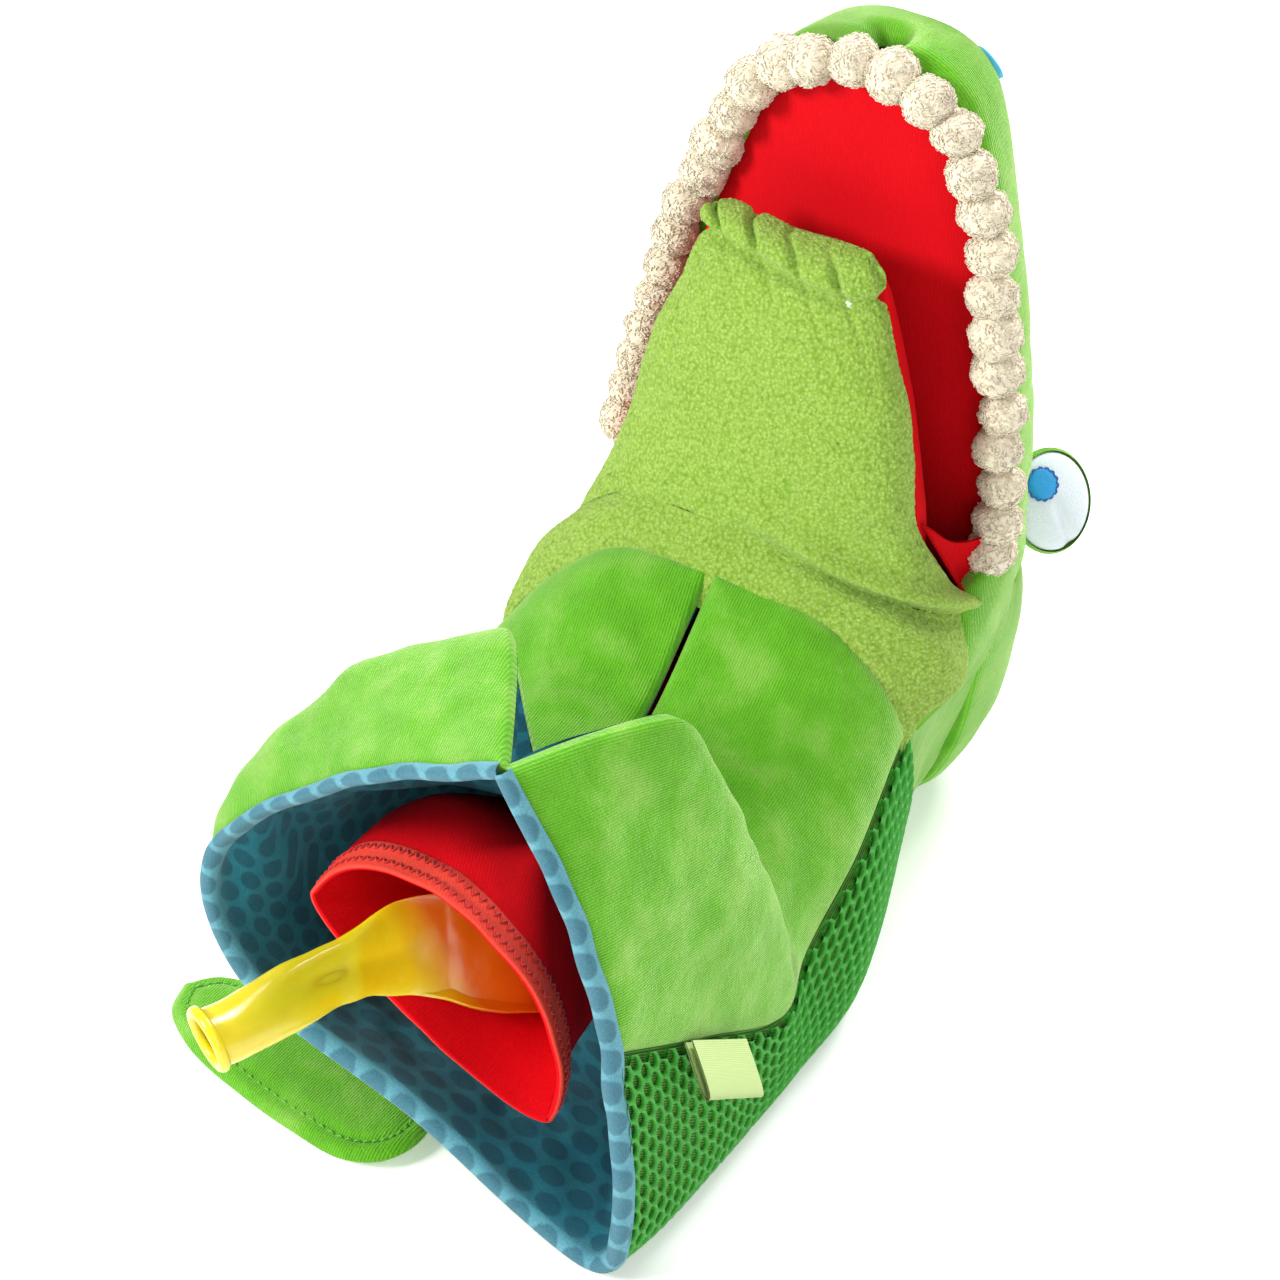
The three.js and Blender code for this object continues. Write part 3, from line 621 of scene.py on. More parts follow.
def honeycomb(base, normal, width, length):
    """Points and faces of a knitted honeycomb: raised strands round rounded holes."""
    columns = round(width / MESH_CELL)
    rows = round(length / (MESH_CELL * ROW_PITCH))
    corners = np.arange(HOLE_SIDES) * np.pi / 6 + np.pi / 6
    on_side = np.arange(HOLE_SIDES) % 2 == 1
    outline = np.stack([np.cos(corners), np.sin(corners)], axis=-1) / np.sqrt(3)
    outline[on_side] *= np.cos(np.pi / 6)
    hole = np.stack([np.cos(corners), np.sin(corners)], axis=-1) * HOLE_SHARE / 2
    rings = [(outline, 0.75), (hole * 1.22, 0.55), (hole, 0.05), (hole * 1.1, -0.8)]
    points, faces = [], []
    first = 0
    for row in range(rows):
        for column in range(columns + row % 2 - 1):
            centre = np.array([column + 1 - 0.5 * (row % 2), row + 0.5])
            for shape, height in rings:
                u = (centre[0] + shape[:, 0]) / columns
                v = (centre[1] + shape[:, 1] / ROW_PITCH) / rows
                points.append(on_grid(base, u, v) + on_grid(normal, u, v) * height)
            for ring in range(len(rings) - 1):
                for k in range(HOLE_SIDES):
                    a = first + HOLE_SIDES * ring + k
                    b = first + HOLE_SIDES * ring + (k + 1) % HOLE_SIDES
                    faces.append([b, a, a + HOLE_SIDES, b + HOLE_SIDES])
            first += HOLE_SIDES * len(rings)
    return np.concatenate(points), faces


def add_back():
    """The honeycomb mesh of the back over its ribbed backing."""
    span, rows = (RIGHT_SEAM, LEFT_CORNER), (0, THROAT)
    dense = surface(GLOVE, np.linspace(*span, 240), np.linspace(*rows, 240))
    dense[..., 2] = np.maximum(dense[..., 2], 1.0)
    base = resampled(dense)
    normal = grid_normals(base, 1)
    base = base + normal * (0.8 * noise_at(base, 24, 5.0) - 0.5)[..., None]
    base[..., 2] = np.maximum(base[..., 2], 1.2)
    width = np.mean(run_length(base, 1)[:, -1])
    length = np.mean(run_length(base, 0)[-1])
    points, faces = honeycomb(base, normal, width, length)
    points[:, 2] = np.maximum(points[:, 2], FLOOR_CLEARANCE)
    strands = mesh_object("back_mesh", points, faces)
    dress(strands, STRANDS, "spacer_mesh", None, "back_mesh_panel")
    bend_with_neck(strands)
    relief = soft(0.6, 24, 0.0, 5.0)
    backing = cloth("back_backing_cloth", GLOVE, span, rows, (90, 100), depth=1.9, tuck=1.0, relief=relief)
    dress(backing, BACKING_RIBS, "rib_cloth", None, "back_backing")
    sewn(backing, "laid", "dotted_lining")
    bend_with_neck(backing)


LINING_DEPTH = 5.2
RIM_ROLL = [(-0.4, -1.0), (-0.2, 0.6), (0.6, 2.2), (2.2, 3.1), (4.0, 2.8), (5.2, 1.4)]


def add_lining():
    """The dotted lining, which is turned out over the rim of the glove."""
    us = np.linspace(0, SLIT_LEFT, 260)
    vs = stations(0, THROAT, 130)
    base = surface(GLOVE, us, vs)
    base[..., 2] = np.maximum(base[..., 2], 0)
    normal = grid_normals(base, 1)
    across, up = run_length(base, 1), run_length(base, 0)
    wrinkle = (2.0 * noise_at(base, 24, 31.0) + 0.8 * noise_at(base, 9, 37.0)) * (1 - np.exp(-up / 9))
    inside = base - normal * (LINING_DEPTH + wrinkle)[..., None]
    rim, out = base[0], normal[0]
    wavy = 0.9 * noise_at(rim, 16, 41.0)[:, None]
    forward = np.array([0.0, -1.0, 0.0])
    rolled = [rim - out * (depth + wavy) + forward * (ahead + wavy) for depth, ahead in RIM_ROLL]
    points = np.concatenate([np.array(rolled), inside])
    points[..., 2] = np.maximum(points[..., 2], FLOOR_CLEARANCE + 0.3)
    roll_up = up[:1] + np.arange(len(RIM_ROLL))[:, None] * 1.6
    uvs = np.stack([
        np.concatenate([np.repeat(across[:1], len(RIM_ROLL), axis=0), across]),
        np.concatenate([np.broadcast_to(roll_up, (len(RIM_ROLL), len(us))), up + 1.6 * len(RIM_ROLL)]),
    ], axis=-1)
    made = grid_object("dotted_lining", points, uvs, flip=True)
    dress(made, DOTTED, "dotted_jersey", None, "glove_lining")
    sewn(made, "draped", "back_backing_cloth")
    bend_with_neck(made)


# The neck goes on from the throat to the front edge and the bottom of the head.
NECK_MIDDLE = [[56, 196, 80], [27, 197, 0], [0, 197, 0], [-30, 197, 0], [-57, 196, 80]]
NECK_TOP = [[57, 216, 84], [26, 224, 2], [-3, 240, 2], [-32, 224, 2], [-61, 216, 84]]


def add_neck():
    """The velour between the back of the glove and the head."""
    places = np.array([GLOVE_ROWS[-1][2:7], NECK_MIDDLE, NECK_TOP], float)
    made = cloth("neck_velour", places, (0, 4), (0, 2), (120, 60), relief=soft(0.9, 20, seed=43.0),
                 edges="left right first")
    dress(made, VELOUR, "velour", None, "neck_panel")
    sewn(made, "draped", "nape_velour")
    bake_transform(made)


# The corner pieces between the throat, the neck and the cheek, from their lower edges upwards.
CORNERS = {
    "right": [
        [[62, 156, 82], [60, 190, 80], [60, 214, 84]],
        [[65, 176, 90], [62, 201, 92], [62, 214, 98]],
        [[57, 189, 110], [61, 202, 115], [62.5, 213.5, 122]],
    ],
    "left": [
        [[-61, 134, 84], [-59, 176, 80], [-60, 214, 84]],
        [[-65, 156, 93], [-62, 190, 92], [-62, 214, 98]],
        [[-61, 179, 99], [-61, 197, 106], [-62, 213.5, 116]],
    ],
}


def add_corners():
    """Small velour pieces that close the sides of the mouth."""
    for word, side in (("right", 1), ("left", -1)):
        made = cloth(f"corner_velour_{word}", CORNERS[word], (0, 2), (0, 2), (36, 30), facing=side,
                     relief=soft(0.5, 14, seed=47.0))
        dress(made, VELOUR, "velour", None)
        sewn(made, "stretched", f"cheek_velour_{word}")
        bend_with_neck(made)


# The fleece below the jaw, from under the velour over a soft lobe to the fold under the chin.
COLLAR_ROWS = [
    [[62, 150, 80], [54, 150, 93], [37, 146, 105], [0, 139, 113], [-36, 138, 111], [-56, 133, 97],
     [-62, 126, 82]],
    [[63, 160, 86], [56, 160, 101], [38, 154, 114], [0, 148, 123], [-37, 148, 121], [-57, 142, 105],
     [-64, 135, 90]],
    [[66, 178, 88], [62, 171, 103], [44, 159, 117], [0, 151, 127], [-39, 152, 124], [-60, 152, 108],
     [-67, 155, 94]],
    [[59, 194, 100], [55, 178, 109], [38, 164, 119], [0, 155, 131], [-38, 158, 127], [-56, 162, 112],
     [-61, 178, 98]],
]


def curly(amount=0.4):
    """Relief of curly fleece: tufts about a millimetre across over soft dents."""

    def relief(base, _across, _up, _to_edge):
        tufts = 0.9 * np.abs(noise_at(base, 1.3, 3.0)) + np.abs(noise_at(base, 0.7, 9.0))
        return amount * (1 - 1.6 * tufts) + 1.1 * noise_at(base, 18, 13.0)

    return relief


def add_collar():
    """The fleece between the belly and the chin."""
    made = cloth("throat_fleece", COLLAR_ROWS, (0, 6), (0, 3), (250, 70), facing=-1, edges="left right",
                 relief=curly(), turn=2.0, tuck=2.5)
    dress(made, FLEECE, "fleece", None, "throat_collar")
    sewn(made, "draped", "belly_velour_right", "belly_velour_left")
    bend_with_neck(made)


# ---- Gullet sleeve ----------------------------------------------------------------------------

SLEEVE_RINGS = [
    {"centre": [0, 6, 65], "long": [38, 0, -22.5], "up": [16, 3, 33], "down": [-4, -3, -6]},
    {"centre": [-2, 34, 72], "long": [34, 0, -17], "up": [6, 3, 30], "down": [2, -2, -14]},
    {"centre": [2, 76, 58], "long": [34, 0, -8], "up": [2, 2, 20], "down": [0, -2, -17]},
    {"centre": [2, 112, 52], "long": [36, 0, 0], "up": [0, 0, 16], "down": [0, 0, -16]},
    {"centre": [0, 146, 72], "long": [34, 0, 0], "up": [0, -4, 15], "down": [0, 4, -15]},
    {"centre": [0, 197, 91], "long": [36, 0, 0], "up": [0, -6, 4], "down": [0, 6, -4]},
]
HEM_WIDTH = 9.5
HEM_STITCHES = [{"from_edge": 2.6, "swing": 0.9}, {"from_edge": 7.6, "swing": 1.1}]


def slack_ring(ring, angles):
    """A loop between two corners, with its own rise above them and its own drop below."""
    centre, long, up, down = (np.array(ring[key], float) for key in ("centre", "long", "up", "down"))
    rise = np.sin(angles)[:, None]
    return centre + np.cos(angles)[:, None] * long + np.maximum(rise, 0) * up + np.maximum(-rise, 0) * down


def add_sleeve():
    """A jersey tube: its inside, the turned edge at the mouth and the outside with its hem."""
    sides = 150
    angles = 2 * np.pi * np.arange(sides) / sides
    rings = np.array([slack_ring(ring, angles) for ring in SLEEVE_RINGS])
    vs = np.concatenate([np.linspace(0, 0.5, 30), np.linspace(0.5, 5, 91)[1:]])
    outer = along(rings, vs)
    wrap = np.concatenate([outer[:, -1:], outer, outer[:, :1]], axis=1)
    normal = -grid_normals(wrap, 1)[:, 1:-1]
    up = run_length(outer, 0)
    folds = 1.2 * noise_at(outer, 22, 51.0) + 0.4 * noise_at(outer, 9, 53.0)
    outer = outer + normal * folds[..., None]
    hem = 0.55 / (1 + np.exp((up - HEM_WIDTH) * 4))
    outside = outer + normal * hem[..., None]
    inside = (outer - normal * 1.2)[::-1]
    lip = outer[:1] - normal[:1] * 0.4 + (outer[:1] - outer[1:2]) * 0.5
    points = np.concatenate([inside, lip, outside])
    across = np.broadcast_to(np.arange(sides) * 1.5, points.shape[:2])
    lengths = np.concatenate([up[::-1], up[:1], up])
    uvs = np.stack([across, lengths], axis=-1)
    made = grid_object("gullet_jersey", points, uvs, closed=True, looped=True)
    # The sleeve gets the lightened red, painted light on cloth in shade.
    dress(made, LIGHTENED_SLEEVE_RED, "red_jersey", None, "gullet_sleeve", "sleeve_hem")
    made.data.materials.append(HEM_RED)
    first_hem = len(inside) * sides
    last_hem = (len(inside) + 1 + np.searchsorted(up.mean(axis=1), HEM_WIDTH)) * sides
    for face in made.data.polygons:
        if first_hem <= face.vertices[0] < last_hem:
            face.material_index = 1
    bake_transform(made)
    add_hem_stitches(outside, normal, up)


def add_hem_stitches(outside, normal, up):
    """Two rows of zigzag stitches round the hem."""
    paths = []
    heights = up.mean(axis=1)
    for row in HEM_STITCHES:
        distance = row["from_edge"]
        loop = np.array([[np.interp(distance, heights, outside[:, j, k]) for k in range(3)]
                         for j in range(outside.shape[1])])
        lift = normal[int(np.searchsorted(heights, distance))]
        line = evenly(np.concatenate([loop, loop[:1]]), 1.3)
        count = len(line) - 1
        which = np.minimum((np.arange(count + 1) / (count + 1) * len(lift)).astype(int), len(lift) - 1)
        lift = lift[which]
        along_rim = unit(np.gradient(line, axis=0))
        aside = np.cross(lift, along_rim)
        swing = np.where(np.arange(count + 1) % 2, 1, -1)[:, None] * row["swing"]
        dots = line + aside * swing + lift * 0.25
        start, stop = dots[:-1], dots[1:]
        middle = (start + stop) / 2 + lift[:-1] * 0.3
        paths.append(np.stack([start, middle, stop], axis=1))
    made = tubes("hem_stitches", np.concatenate(paths), 0.28, 5)
    dress(made, RED_THREAD, "red_jersey", "glove")


# ---- Head -------------------------------------------------------------------------------------
# Level sections of the head: height, half width at the front edge, depth behind the front edge.

HEAD_SECTIONS = [
    [0, 24, 28], [12, 38, 43], [30, 48, 54], [52, 54, 59], [84, 59, 52], [104, 62, 44],
    [122, 62, 39], [142, 60, 36], [165, 56, 33], [190, 50.5, 31], [214, 44, 29], [236, 37, 28],
    [250, 31, 27], [259, 22, 22], [265, 8, 10],
]
HEAD_FRONT_Y = 213.5
HEAD_SQUARENESS = 2.7
HEAD_COLUMNS = 20
NAPE_ROW, CHEEK_ROW, SNOUT_ROW = 4, 6, 14
MOUTH_Z = 104


def lean(z):
    """The head leans a little to the right above the mouth: its sideways shift at that height."""
    z = np.asarray(z, float)
    return 0.1 * (np.maximum(z, MOUTH_Z) - 165) * np.minimum(z / MOUTH_Z, 1)


def head_places():
    """Rows of places round the head, one row for each section, from the nape to the snout."""
    angle = np.pi * np.arange(HEAD_COLUMNS + 1) / HEAD_COLUMNS
    power = 2 / HEAD_SQUARENESS
    rows = []
    for z, half_width, depth in HEAD_SECTIONS:
        x = half_width * np.sign(np.cos(angle)) * np.abs(np.cos(angle)) ** power + lean(z)
        y = HEAD_FRONT_Y + depth * np.sin(angle) ** power
        rows.append(np.stack([x, y, np.full_like(x, z)], axis=-1))
    return np.array(rows)


def with_lip(places):
    """The sections with one more place at both ends, where the cloth wraps over the front edge."""
    inward = np.array([4.0, -5.0, 0.0])
    right = places[:, :1] - inward * [1, -1, 1]
    left = places[:, -1:] + inward
    for lip in (right, left):
        lip[..., 2] -= 4 * (lip[..., 2] / 265) ** 12
    return np.concatenate([right, places, left], axis=1)


def add_head_velour():
    """The padded velour panels of the head, one for each CAD panel."""
    places = head_places()
    pieces = [
        ("nape_velour", (0, 20), (0, NAPE_ROW), (150, 70), 61.0, "nape_panel"),
        ("cheek_velour_right", (0, 6), (NAPE_ROW, CHEEK_ROW), (36, 32), 67.0, "cheek_right"),
        ("crown_velour", (6, 14), (NAPE_ROW, CHEEK_ROW), (70, 32), 71.0, "crown_panel"),
        ("cheek_velour_left", (14, 20), (NAPE_ROW, CHEEK_ROW), (36, 32), 73.0, "cheek_left"),
        ("snout_velour", (0, 22), (CHEEK_ROW, SNOUT_ROW), (140, 120), 79.0, "snout_shell"),
    ]
    for name, u, v, count, seed, node in pieces:
        net = with_lip(places) if name == "snout_velour" else places
        made = cloth(name, net, u, v, count, relief=soft(0.8, 22, seed=seed), tuck=6)
        dress(made, VELOUR, "velour", "head", node)


# The U-shaped edge of the upper jaw, as half width and height, from the mouth corner to the tip.
JAW_EDGE = [[63, 108], [62, 130], [57.5, 162], [51, 192], [44, 216], [36.5, 238], [25, 252], [0, 258]]
TOOTH_Y = 205.5
TOOTH_COUNT = 29


def jaw_edge(inset):
    """The edge of the upper jaw from the right corner of the mouth over the tip to the left."""
    right = []
    for i, (x, z) in enumerate(JAW_EDGE[:-1]):
        lowered = inset * 0.7 if i > 4 else 0
        right.append([x - inset, TOOTH_Y, z - lowered])
    left = [[-x, y, z] for x, y, z in reversed(right)]
    tip = [0, TOOTH_Y, JAW_EDGE[-1][1] - inset]
    points = np.array([*right, tip, *left], float)
    points[:, 0] += lean(points[:, 2])
    return points


def add_palate():
    """The red cloth of the upper jaw, crowned a little and drawn in at the teeth."""
    ts = np.linspace(0, 7, 120)
    edge = along(np.array([[x, 0, z] for x, z in JAW_EDGE], float), ts)
    half, heights = np.maximum(edge[:, 0] - 3, 0.5), edge[:, 2] - 2 * (ts / 7)
    below = np.array([[59, 96], [57, 84]])
    half = np.concatenate([below[::-1, 0], half])
    heights = np.concatenate([below[::-1, 1], heights])
    share = np.sin(np.linspace(-np.pi / 2, np.pi / 2, 90))
    x = half[:, None] * share + lean(heights)[:, None]
    z = np.broadcast_to(heights[:, None], x.shape)
    to_side = half[:, None] * (1 - np.abs(share))
    y = 208.5 + 3.5 * np.exp(-to_side / 5) - 1.2 * (1 - np.exp(-to_side / 14))
    points = np.stack([x, y, z], axis=-1)
    creases = 0.7 * noise_at(points * [1, 1, 0.45], 17, 83.0)
    points[..., 1] -= creases * (1 - np.exp(-to_side / 8))
    points[:2, :, 1] += np.array([10, 4])[:, None]
    uvs = np.stack([x, z], axis=-1)
    made = grid_object("palate_jersey_cover", points, uvs)
    dress(made, PALATE_RED, "red_jersey", "head", "palate")
    sewn(made, "stretched", "upper_jaw_filling")


def ball(detail):
    """Points and faces of a round ball of radius one, made by dividing an icosahedron."""
    shape = bmesh.new()
    bmesh.ops.create_icosphere(shape, subdivisions=detail, radius=1.0)
    points = np.array([v.co[:] for v in shape.verts])
    faces = np.array([[v.index for v in f.verts] for f in shape.faces])
    shape.free()
    return points, faces


def add_teeth():
    """A trim of chenille pompoms, each one a rough ball with curled loops standing out."""
    rng = np.random.default_rng(7)
    line = along(jaw_edge(0), np.linspace(0, 14, 600))
    centres = evenly(line, run_length(line[None], 1)[0, -1] / TOOTH_COUNT)
    centres = (centres[:-1] + centres[1:]) / 2
    shape, faces = ball(4)
    all_points, all_faces, curls, outward = [], [], [], []
    for n, centre in enumerate(centres):
        size = rng.uniform(6.5, 7.5) * np.array([1.0, rng.uniform(0.95, 1.1), rng.uniform(0.9, 1.05)])
        rough = 1 + 0.12 * noise_at(shape * 6, 3.0, 10.0 * n) + 0.05 * noise_at(shape * 6, 0.9, 7.0 * n)
        drift = rng.uniform(-0.9, 0.9, 3)
        all_points.append(centre + drift + shape * size * rough[:, None])
        all_faces.append(faces + n * len(shape))
        chosen = rng.choice(len(shape), 420, replace=False)
        outward.append(shape[chosen])
        curls.append(all_points[-1][chosen])
    made = mesh_object("pompom_teeth", np.concatenate(all_points), np.concatenate(all_faces).tolist())
    dress(made, CHENILLE, "chenille", "head", "tooth_strip")
    base, out = np.concatenate(curls), np.concatenate(outward)
    aside = unit(np.cross(out, rng.normal(size=out.shape)))
    loops = [base + aside * s * 0.6 + out * h for s, h in ((-1, -0.2), (-0.7, 0.2), (0.3, 0.3), (1, -0.2))]
    made = tubes("pompom_loops", np.stack(loops, axis=1), 0.22, 3)
    dress(made, CHENILLE, "chenille", "head")


# ---- Eyes and nostrils ------------------------------------------------------------------------

EYE = {"centre": [58.5, 252, 102.5], "facing": [0.8, -0.42, 0.42], "wide": 13, "tall": 15}
EYE_BACK, EYE_FACE = 8, 5
IRIS_RADIUS, IRIS_FORWARD, IRIS_UP = 4.7, 4.2, 7
NOSTRIL = {"centre": [22, 237, 251], "facing": [0.45, 0.75, 0.5], "wide": 5.5, "tall": 5.5}


def pad_frame(pad, side):
    """Centre of a pad and the three directions across, along and out of its face."""
    mirror = np.array([side, 1, 1])
    centre = np.array(pad["centre"], float) * mirror
    centre[0] += float(lean(pad["centre"][2]))
    out = unit(np.array(pad["facing"], float) * mirror)
    across = unit(np.cross(out, [0, 0, 1]))
    return centre, across, np.cross(across, out), out


def dome(name, pad, side, height, larger=0.0, relief=None, sides=72, rings=26):
    """A stuffed oval pad: domed, with its edge turned under."""
    centre, across, along_face, out = pad_frame(pad, side)
    angle = 2 * np.pi * np.arange(sides) / sides
    share = np.linspace(0.001, 1, rings) * np.pi / 2
    plane = np.sin(share)[:, None, None] * np.stack([
        (pad["wide"] + larger) * np.cos(angle),
        (pad["tall"] + larger) * np.sin(angle),
    ], axis=-1)
    lift = np.repeat(height * np.cos(share)[:, None], sides, axis=1)
    if relief is not None:
        lift = lift + relief(plane)
    plane = np.concatenate([plane, plane[-1:] * 0.95])
    lift = np.concatenate([lift, lift[-1:] - np.sign(height) * 1.2])
    points = centre + plane[..., :1] * across + plane[..., 1:] * along_face + lift[..., None] * out
    return grid_object(name, points, plane, closed=True, flip=height > 0)


def eye_crease(plane):
    """A soft fold across the white of the eye, from below the iris to its lower edge."""
    x, y = plane[..., 0], plane[..., 1]
    line = (x - 0.3 * y - 1) / 1.8
    return -1.2 * np.exp(-(line**2)) / (1 + np.exp((y + 1) / 1.5))


def iris_frame(side):
    """The iris lies on the dome of the eye and is tilted with it."""
    centre, across, along_face, out = pad_frame(EYE, side)
    x, y = side * IRIS_FORWARD, IRIS_UP
    height = EYE_FACE * math.sqrt(1 - (x / EYE["wide"]) ** 2 - (y / EYE["tall"]) ** 2)
    place = centre + x * across + y * along_face + height * out
    slopes = (x / EYE["wide"] ** 2, y / EYE["tall"] ** 2, height / EYE_FACE**2)
    normal = unit(slopes[0] * across + slopes[1] * along_face + slopes[2] * out)
    flat = unit(np.cross(along_face, normal))
    return place, flat, np.cross(normal, flat), normal


def add_iris(name, side):
    """Satin-stitched disc: parallel threads inside a ring of dark thread."""
    place, across, upward, out = iris_frame(side)
    rows = np.arange(-IRIS_RADIUS + 0.5, IRIS_RADIUS - 0.3, 0.42)
    reach = np.sqrt(IRIS_RADIUS**2 - rows**2)
    share = np.array([-1, -0.5, 0, 0.5, 1])
    lift = 0.9 - 0.35 * share**2
    paths = (place + rows[:, None, None] * upward + (reach[:, None] * share)[..., None] * across
             + lift[:, None] * out)
    threads = tubes(name, paths, 0.27, 6, up=out)
    dress(threads, BLUE_THREAD, "blue_thread", "head", f"iris_{'right' if side > 0 else 'left'}")
    angle = np.linspace(0, 2 * np.pi, 60)
    turns = IRIS_RADIUS + 0.3 * np.sin(angle * 14)
    ring = place + (turns * np.cos(angle))[:, None] * across + (turns * np.sin(angle))[:, None] * upward
    edge = tubes(f"{name}_edge", ring[None] + out * 0.55, 0.42, 6, up=out)
    dress(edge, DARK_THREAD, "blue_thread", "head")


def add_face():
    """Both eyes, each a velour back and a white front with its iris, and both nostrils."""
    for word, side in (("right", 1), ("left", -1)):
        back = dome(f"eye_velour_{word}", EYE, side, -EYE_BACK, larger=1.2)
        dress(back, VELOUR, "velour", "head", f"eye_back_{word}")
        white = dome(f"eye_plush_{word}", EYE, side, EYE_FACE, relief=eye_crease)
        dress(white, WHITE_PLUSH, "white_felt", "head", f"eye_white_{word}")
        add_iris(f"iris_thread_{word}", side)
        nostril = dome(f"nostril_plush_{word}", NOSTRIL, side, 1.2)
        dress(nostril, BLUE_PLUSH, "light_blue_felt", "head", f"nostril_{word}")


# ---- Lower jaw --------------------------------------------------------------------------------
# Sections from the open end to the tip: front edge and back edge as (y, z), and half width.

JAW_SECTIONS = [
    [(163, 158), (196, 114), 47],
    [(166, 174), (197, 140), 43.5],
    [(171, 189), (197, 168), 38],
    [(176, 201), (196, 192), 32],
    [(179, 206), (194, 206), 29],
]
CAP_ROWS = [(0.8, 3.5, 0.97), (0.35, 6.0, 0.9), (-0.4, 6.0, 0.86)]
JAW_COLUMNS = 13
PUCKER_PITCH = 12.5


def jaw_half(section, turn, deep_scale=1.0, rise=0.0, width_scale=1.0):
    """Half of a section of the jaw: turn -1 is the chin side and 1 the mouth side."""
    (front_y, front_z), (back_y, back_z), half_width = section
    middle = np.array([(front_y + back_y) / 2, (front_z + back_z) / 2])
    half = np.array([(back_y - front_y) / 2, (back_z - front_z) / 2])
    angle = np.pi * np.arange(JAW_COLUMNS) / (JAW_COLUMNS - 1)
    across = np.sign(np.cos(angle)) * np.abs(np.cos(angle)) ** 0.8
    deep = turn * np.sin(angle) ** 0.8 * deep_scale
    x = half_width * width_scale * across
    y = middle[0] + half[0] * deep
    z = middle[1] + half[1] * deep + rise
    return np.stack([x, y, z], axis=-1)


def chin_relief(base, across, up, to_edge):
    """Curly fleece, gathered in puckers at a stitched line near the tip and full above the throat fold."""
    from_tip = base[..., 2] - 204 + 0.05 * base[..., 0] + 1.5 * np.sin(across / 11)
    line = np.abs((across / PUCKER_PITCH + 0.35) % 1 - 0.5) * PUCKER_PITCH
    crease = np.exp(-((line / 1.4) ** 2))
    groove = np.exp(-((from_tip / 1.5) ** 2))
    swell = np.exp(-(((from_tip - 5) / 4) ** 2))
    gather = np.exp(from_tip / 12) * (from_tip < 0) * (1 - groove)
    shaped = -2.6 * groove + 2.2 * swell - 3.2 * swell * crease - 1.2 * gather * crease
    aside = np.clip((base[..., 0] + 4) / 30, 0.05, 1)
    full = 5.5 * aside * np.exp(-((up - 6) / 4.5) ** 2) * (1 - np.exp(-((up / 2.5) ** 2)))
    return curly()(base, across, up, to_edge) + shaped * (base[..., 1] < 189) + full


def add_lower_jaw():
    """The fleece chin, which starts at the top row of the collar, and the red floor of the mouth."""
    fold = along(COLLAR_ROWS[-1], np.linspace(0, 6, JAW_COLUMNS))
    rows = [fold] + [jaw_half(section, -1) for section in JAW_SECTIONS]
    rows += [jaw_half(JAW_SECTIONS[-1], -1, deep, rise, wide) for deep, rise, wide in CAP_ROWS]
    rows.append(jaw_half(JAW_SECTIONS[-1], -1, -0.95, 3.0, 0.9))
    top = len(rows) - 1
    chin = cloth("chin_fleece", np.array(rows), (0, 12), (0, top), (250, 240), facing=-1,
                 edges="left right", relief=chin_relief, turn=1.6, tuck=2.5)
    dress(chin, FLEECE, "fleece", None, "chin_shell")
    below = jaw_half([(176, 128), (190, 96), 44], 1)
    mouth = [below] + [jaw_half(section, 1) for section in JAW_SECTIONS]
    floor = cloth("mouth_floor_jersey", np.array(mouth), (0, 12), (0, 5), (110, 90), facing=1,
                  relief=soft(0.5, 18, 0.6, 91.0), turn=1.0, tuck=2.0)
    dress(floor, PALATE_RED, "red_jersey", None, "mouth_floor")
    sewn(floor, "stretched", "lower_jaw_filling")
    for piece in (chin, floor):
        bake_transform(piece)


# ---- Back of the mouth --------------------------------------------------------------------------
# Red webs close the sides of the mouth, from the palate to the edge of the chin, bottom row first.

MOUTH_WEBS = {
    "right": [
        [[60, 207, 94], [58, 200, 97], [59, 194, 100]],
        [[60.5, 206, 108], [54, 196, 110], [53, 187, 118]],
        [[60.5, 206, 124], [52, 193, 124], [47, 180, 136]],
    ],
    "left": [
        [[-60, 200, 94], [-58, 189, 96], [-60, 179, 99]],
        [[-60.5, 206, 108], [-55, 193, 109], [-54, 180, 118]],
        [[-60.5, 206, 124], [-52, 193, 124], [-47, 180, 136]],
    ],
}


def add_mouth_webs():
    for word, side in (("right", 1), ("left", -1)):
        made = cloth(f"mouth_web_{word}", MOUTH_WEBS[word], (0, 2), (0, 2), (24, 24), facing=side, turn=0.5,
                     tuck=0.8, relief=soft(0.5, 12, 0.0, 93.0))
        dress(made, PALATE_RED, "red_jersey", None)
        sewn(made, "stretched", "palate_jersey_cover")
        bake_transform(made)


def add_throat():
    """The cloth round the opening of the sleeve, from the sides of the mouth inwards."""
    angle = 2 * np.pi * np.arange(96) / 96
    s, c = np.sin(angle), np.cos(angle)
    squared = np.sign(c) * np.abs(c) ** 0.7
    deep = np.where(s > 0, 16, 10) * s
    outer = np.stack([58 * squared, 200 + deep, 92 - np.where(s > 0, 8, 4) * s], axis=-1)
    inner = np.stack([36 * c, 197 + 6 * s, 91 - 4 * s], axis=-1)
    share = np.linspace(0, 1, 14)[:, None, None]
    points = outer + (inner - outer) * share
    points[..., 2] -= 2.0 * np.sin(np.pi * share[..., 0]) + 0.6 * noise_at(points, 9, 95.0)
    made = grid_object("throat_jersey", points, points[..., :2], closed=True)
    dress(made, PALATE_RED, "red_jersey", "head")
    sewn(made, "stretched", "gullet_jersey")


# ---- Tail, label and balloon ------------------------------------------------------------------

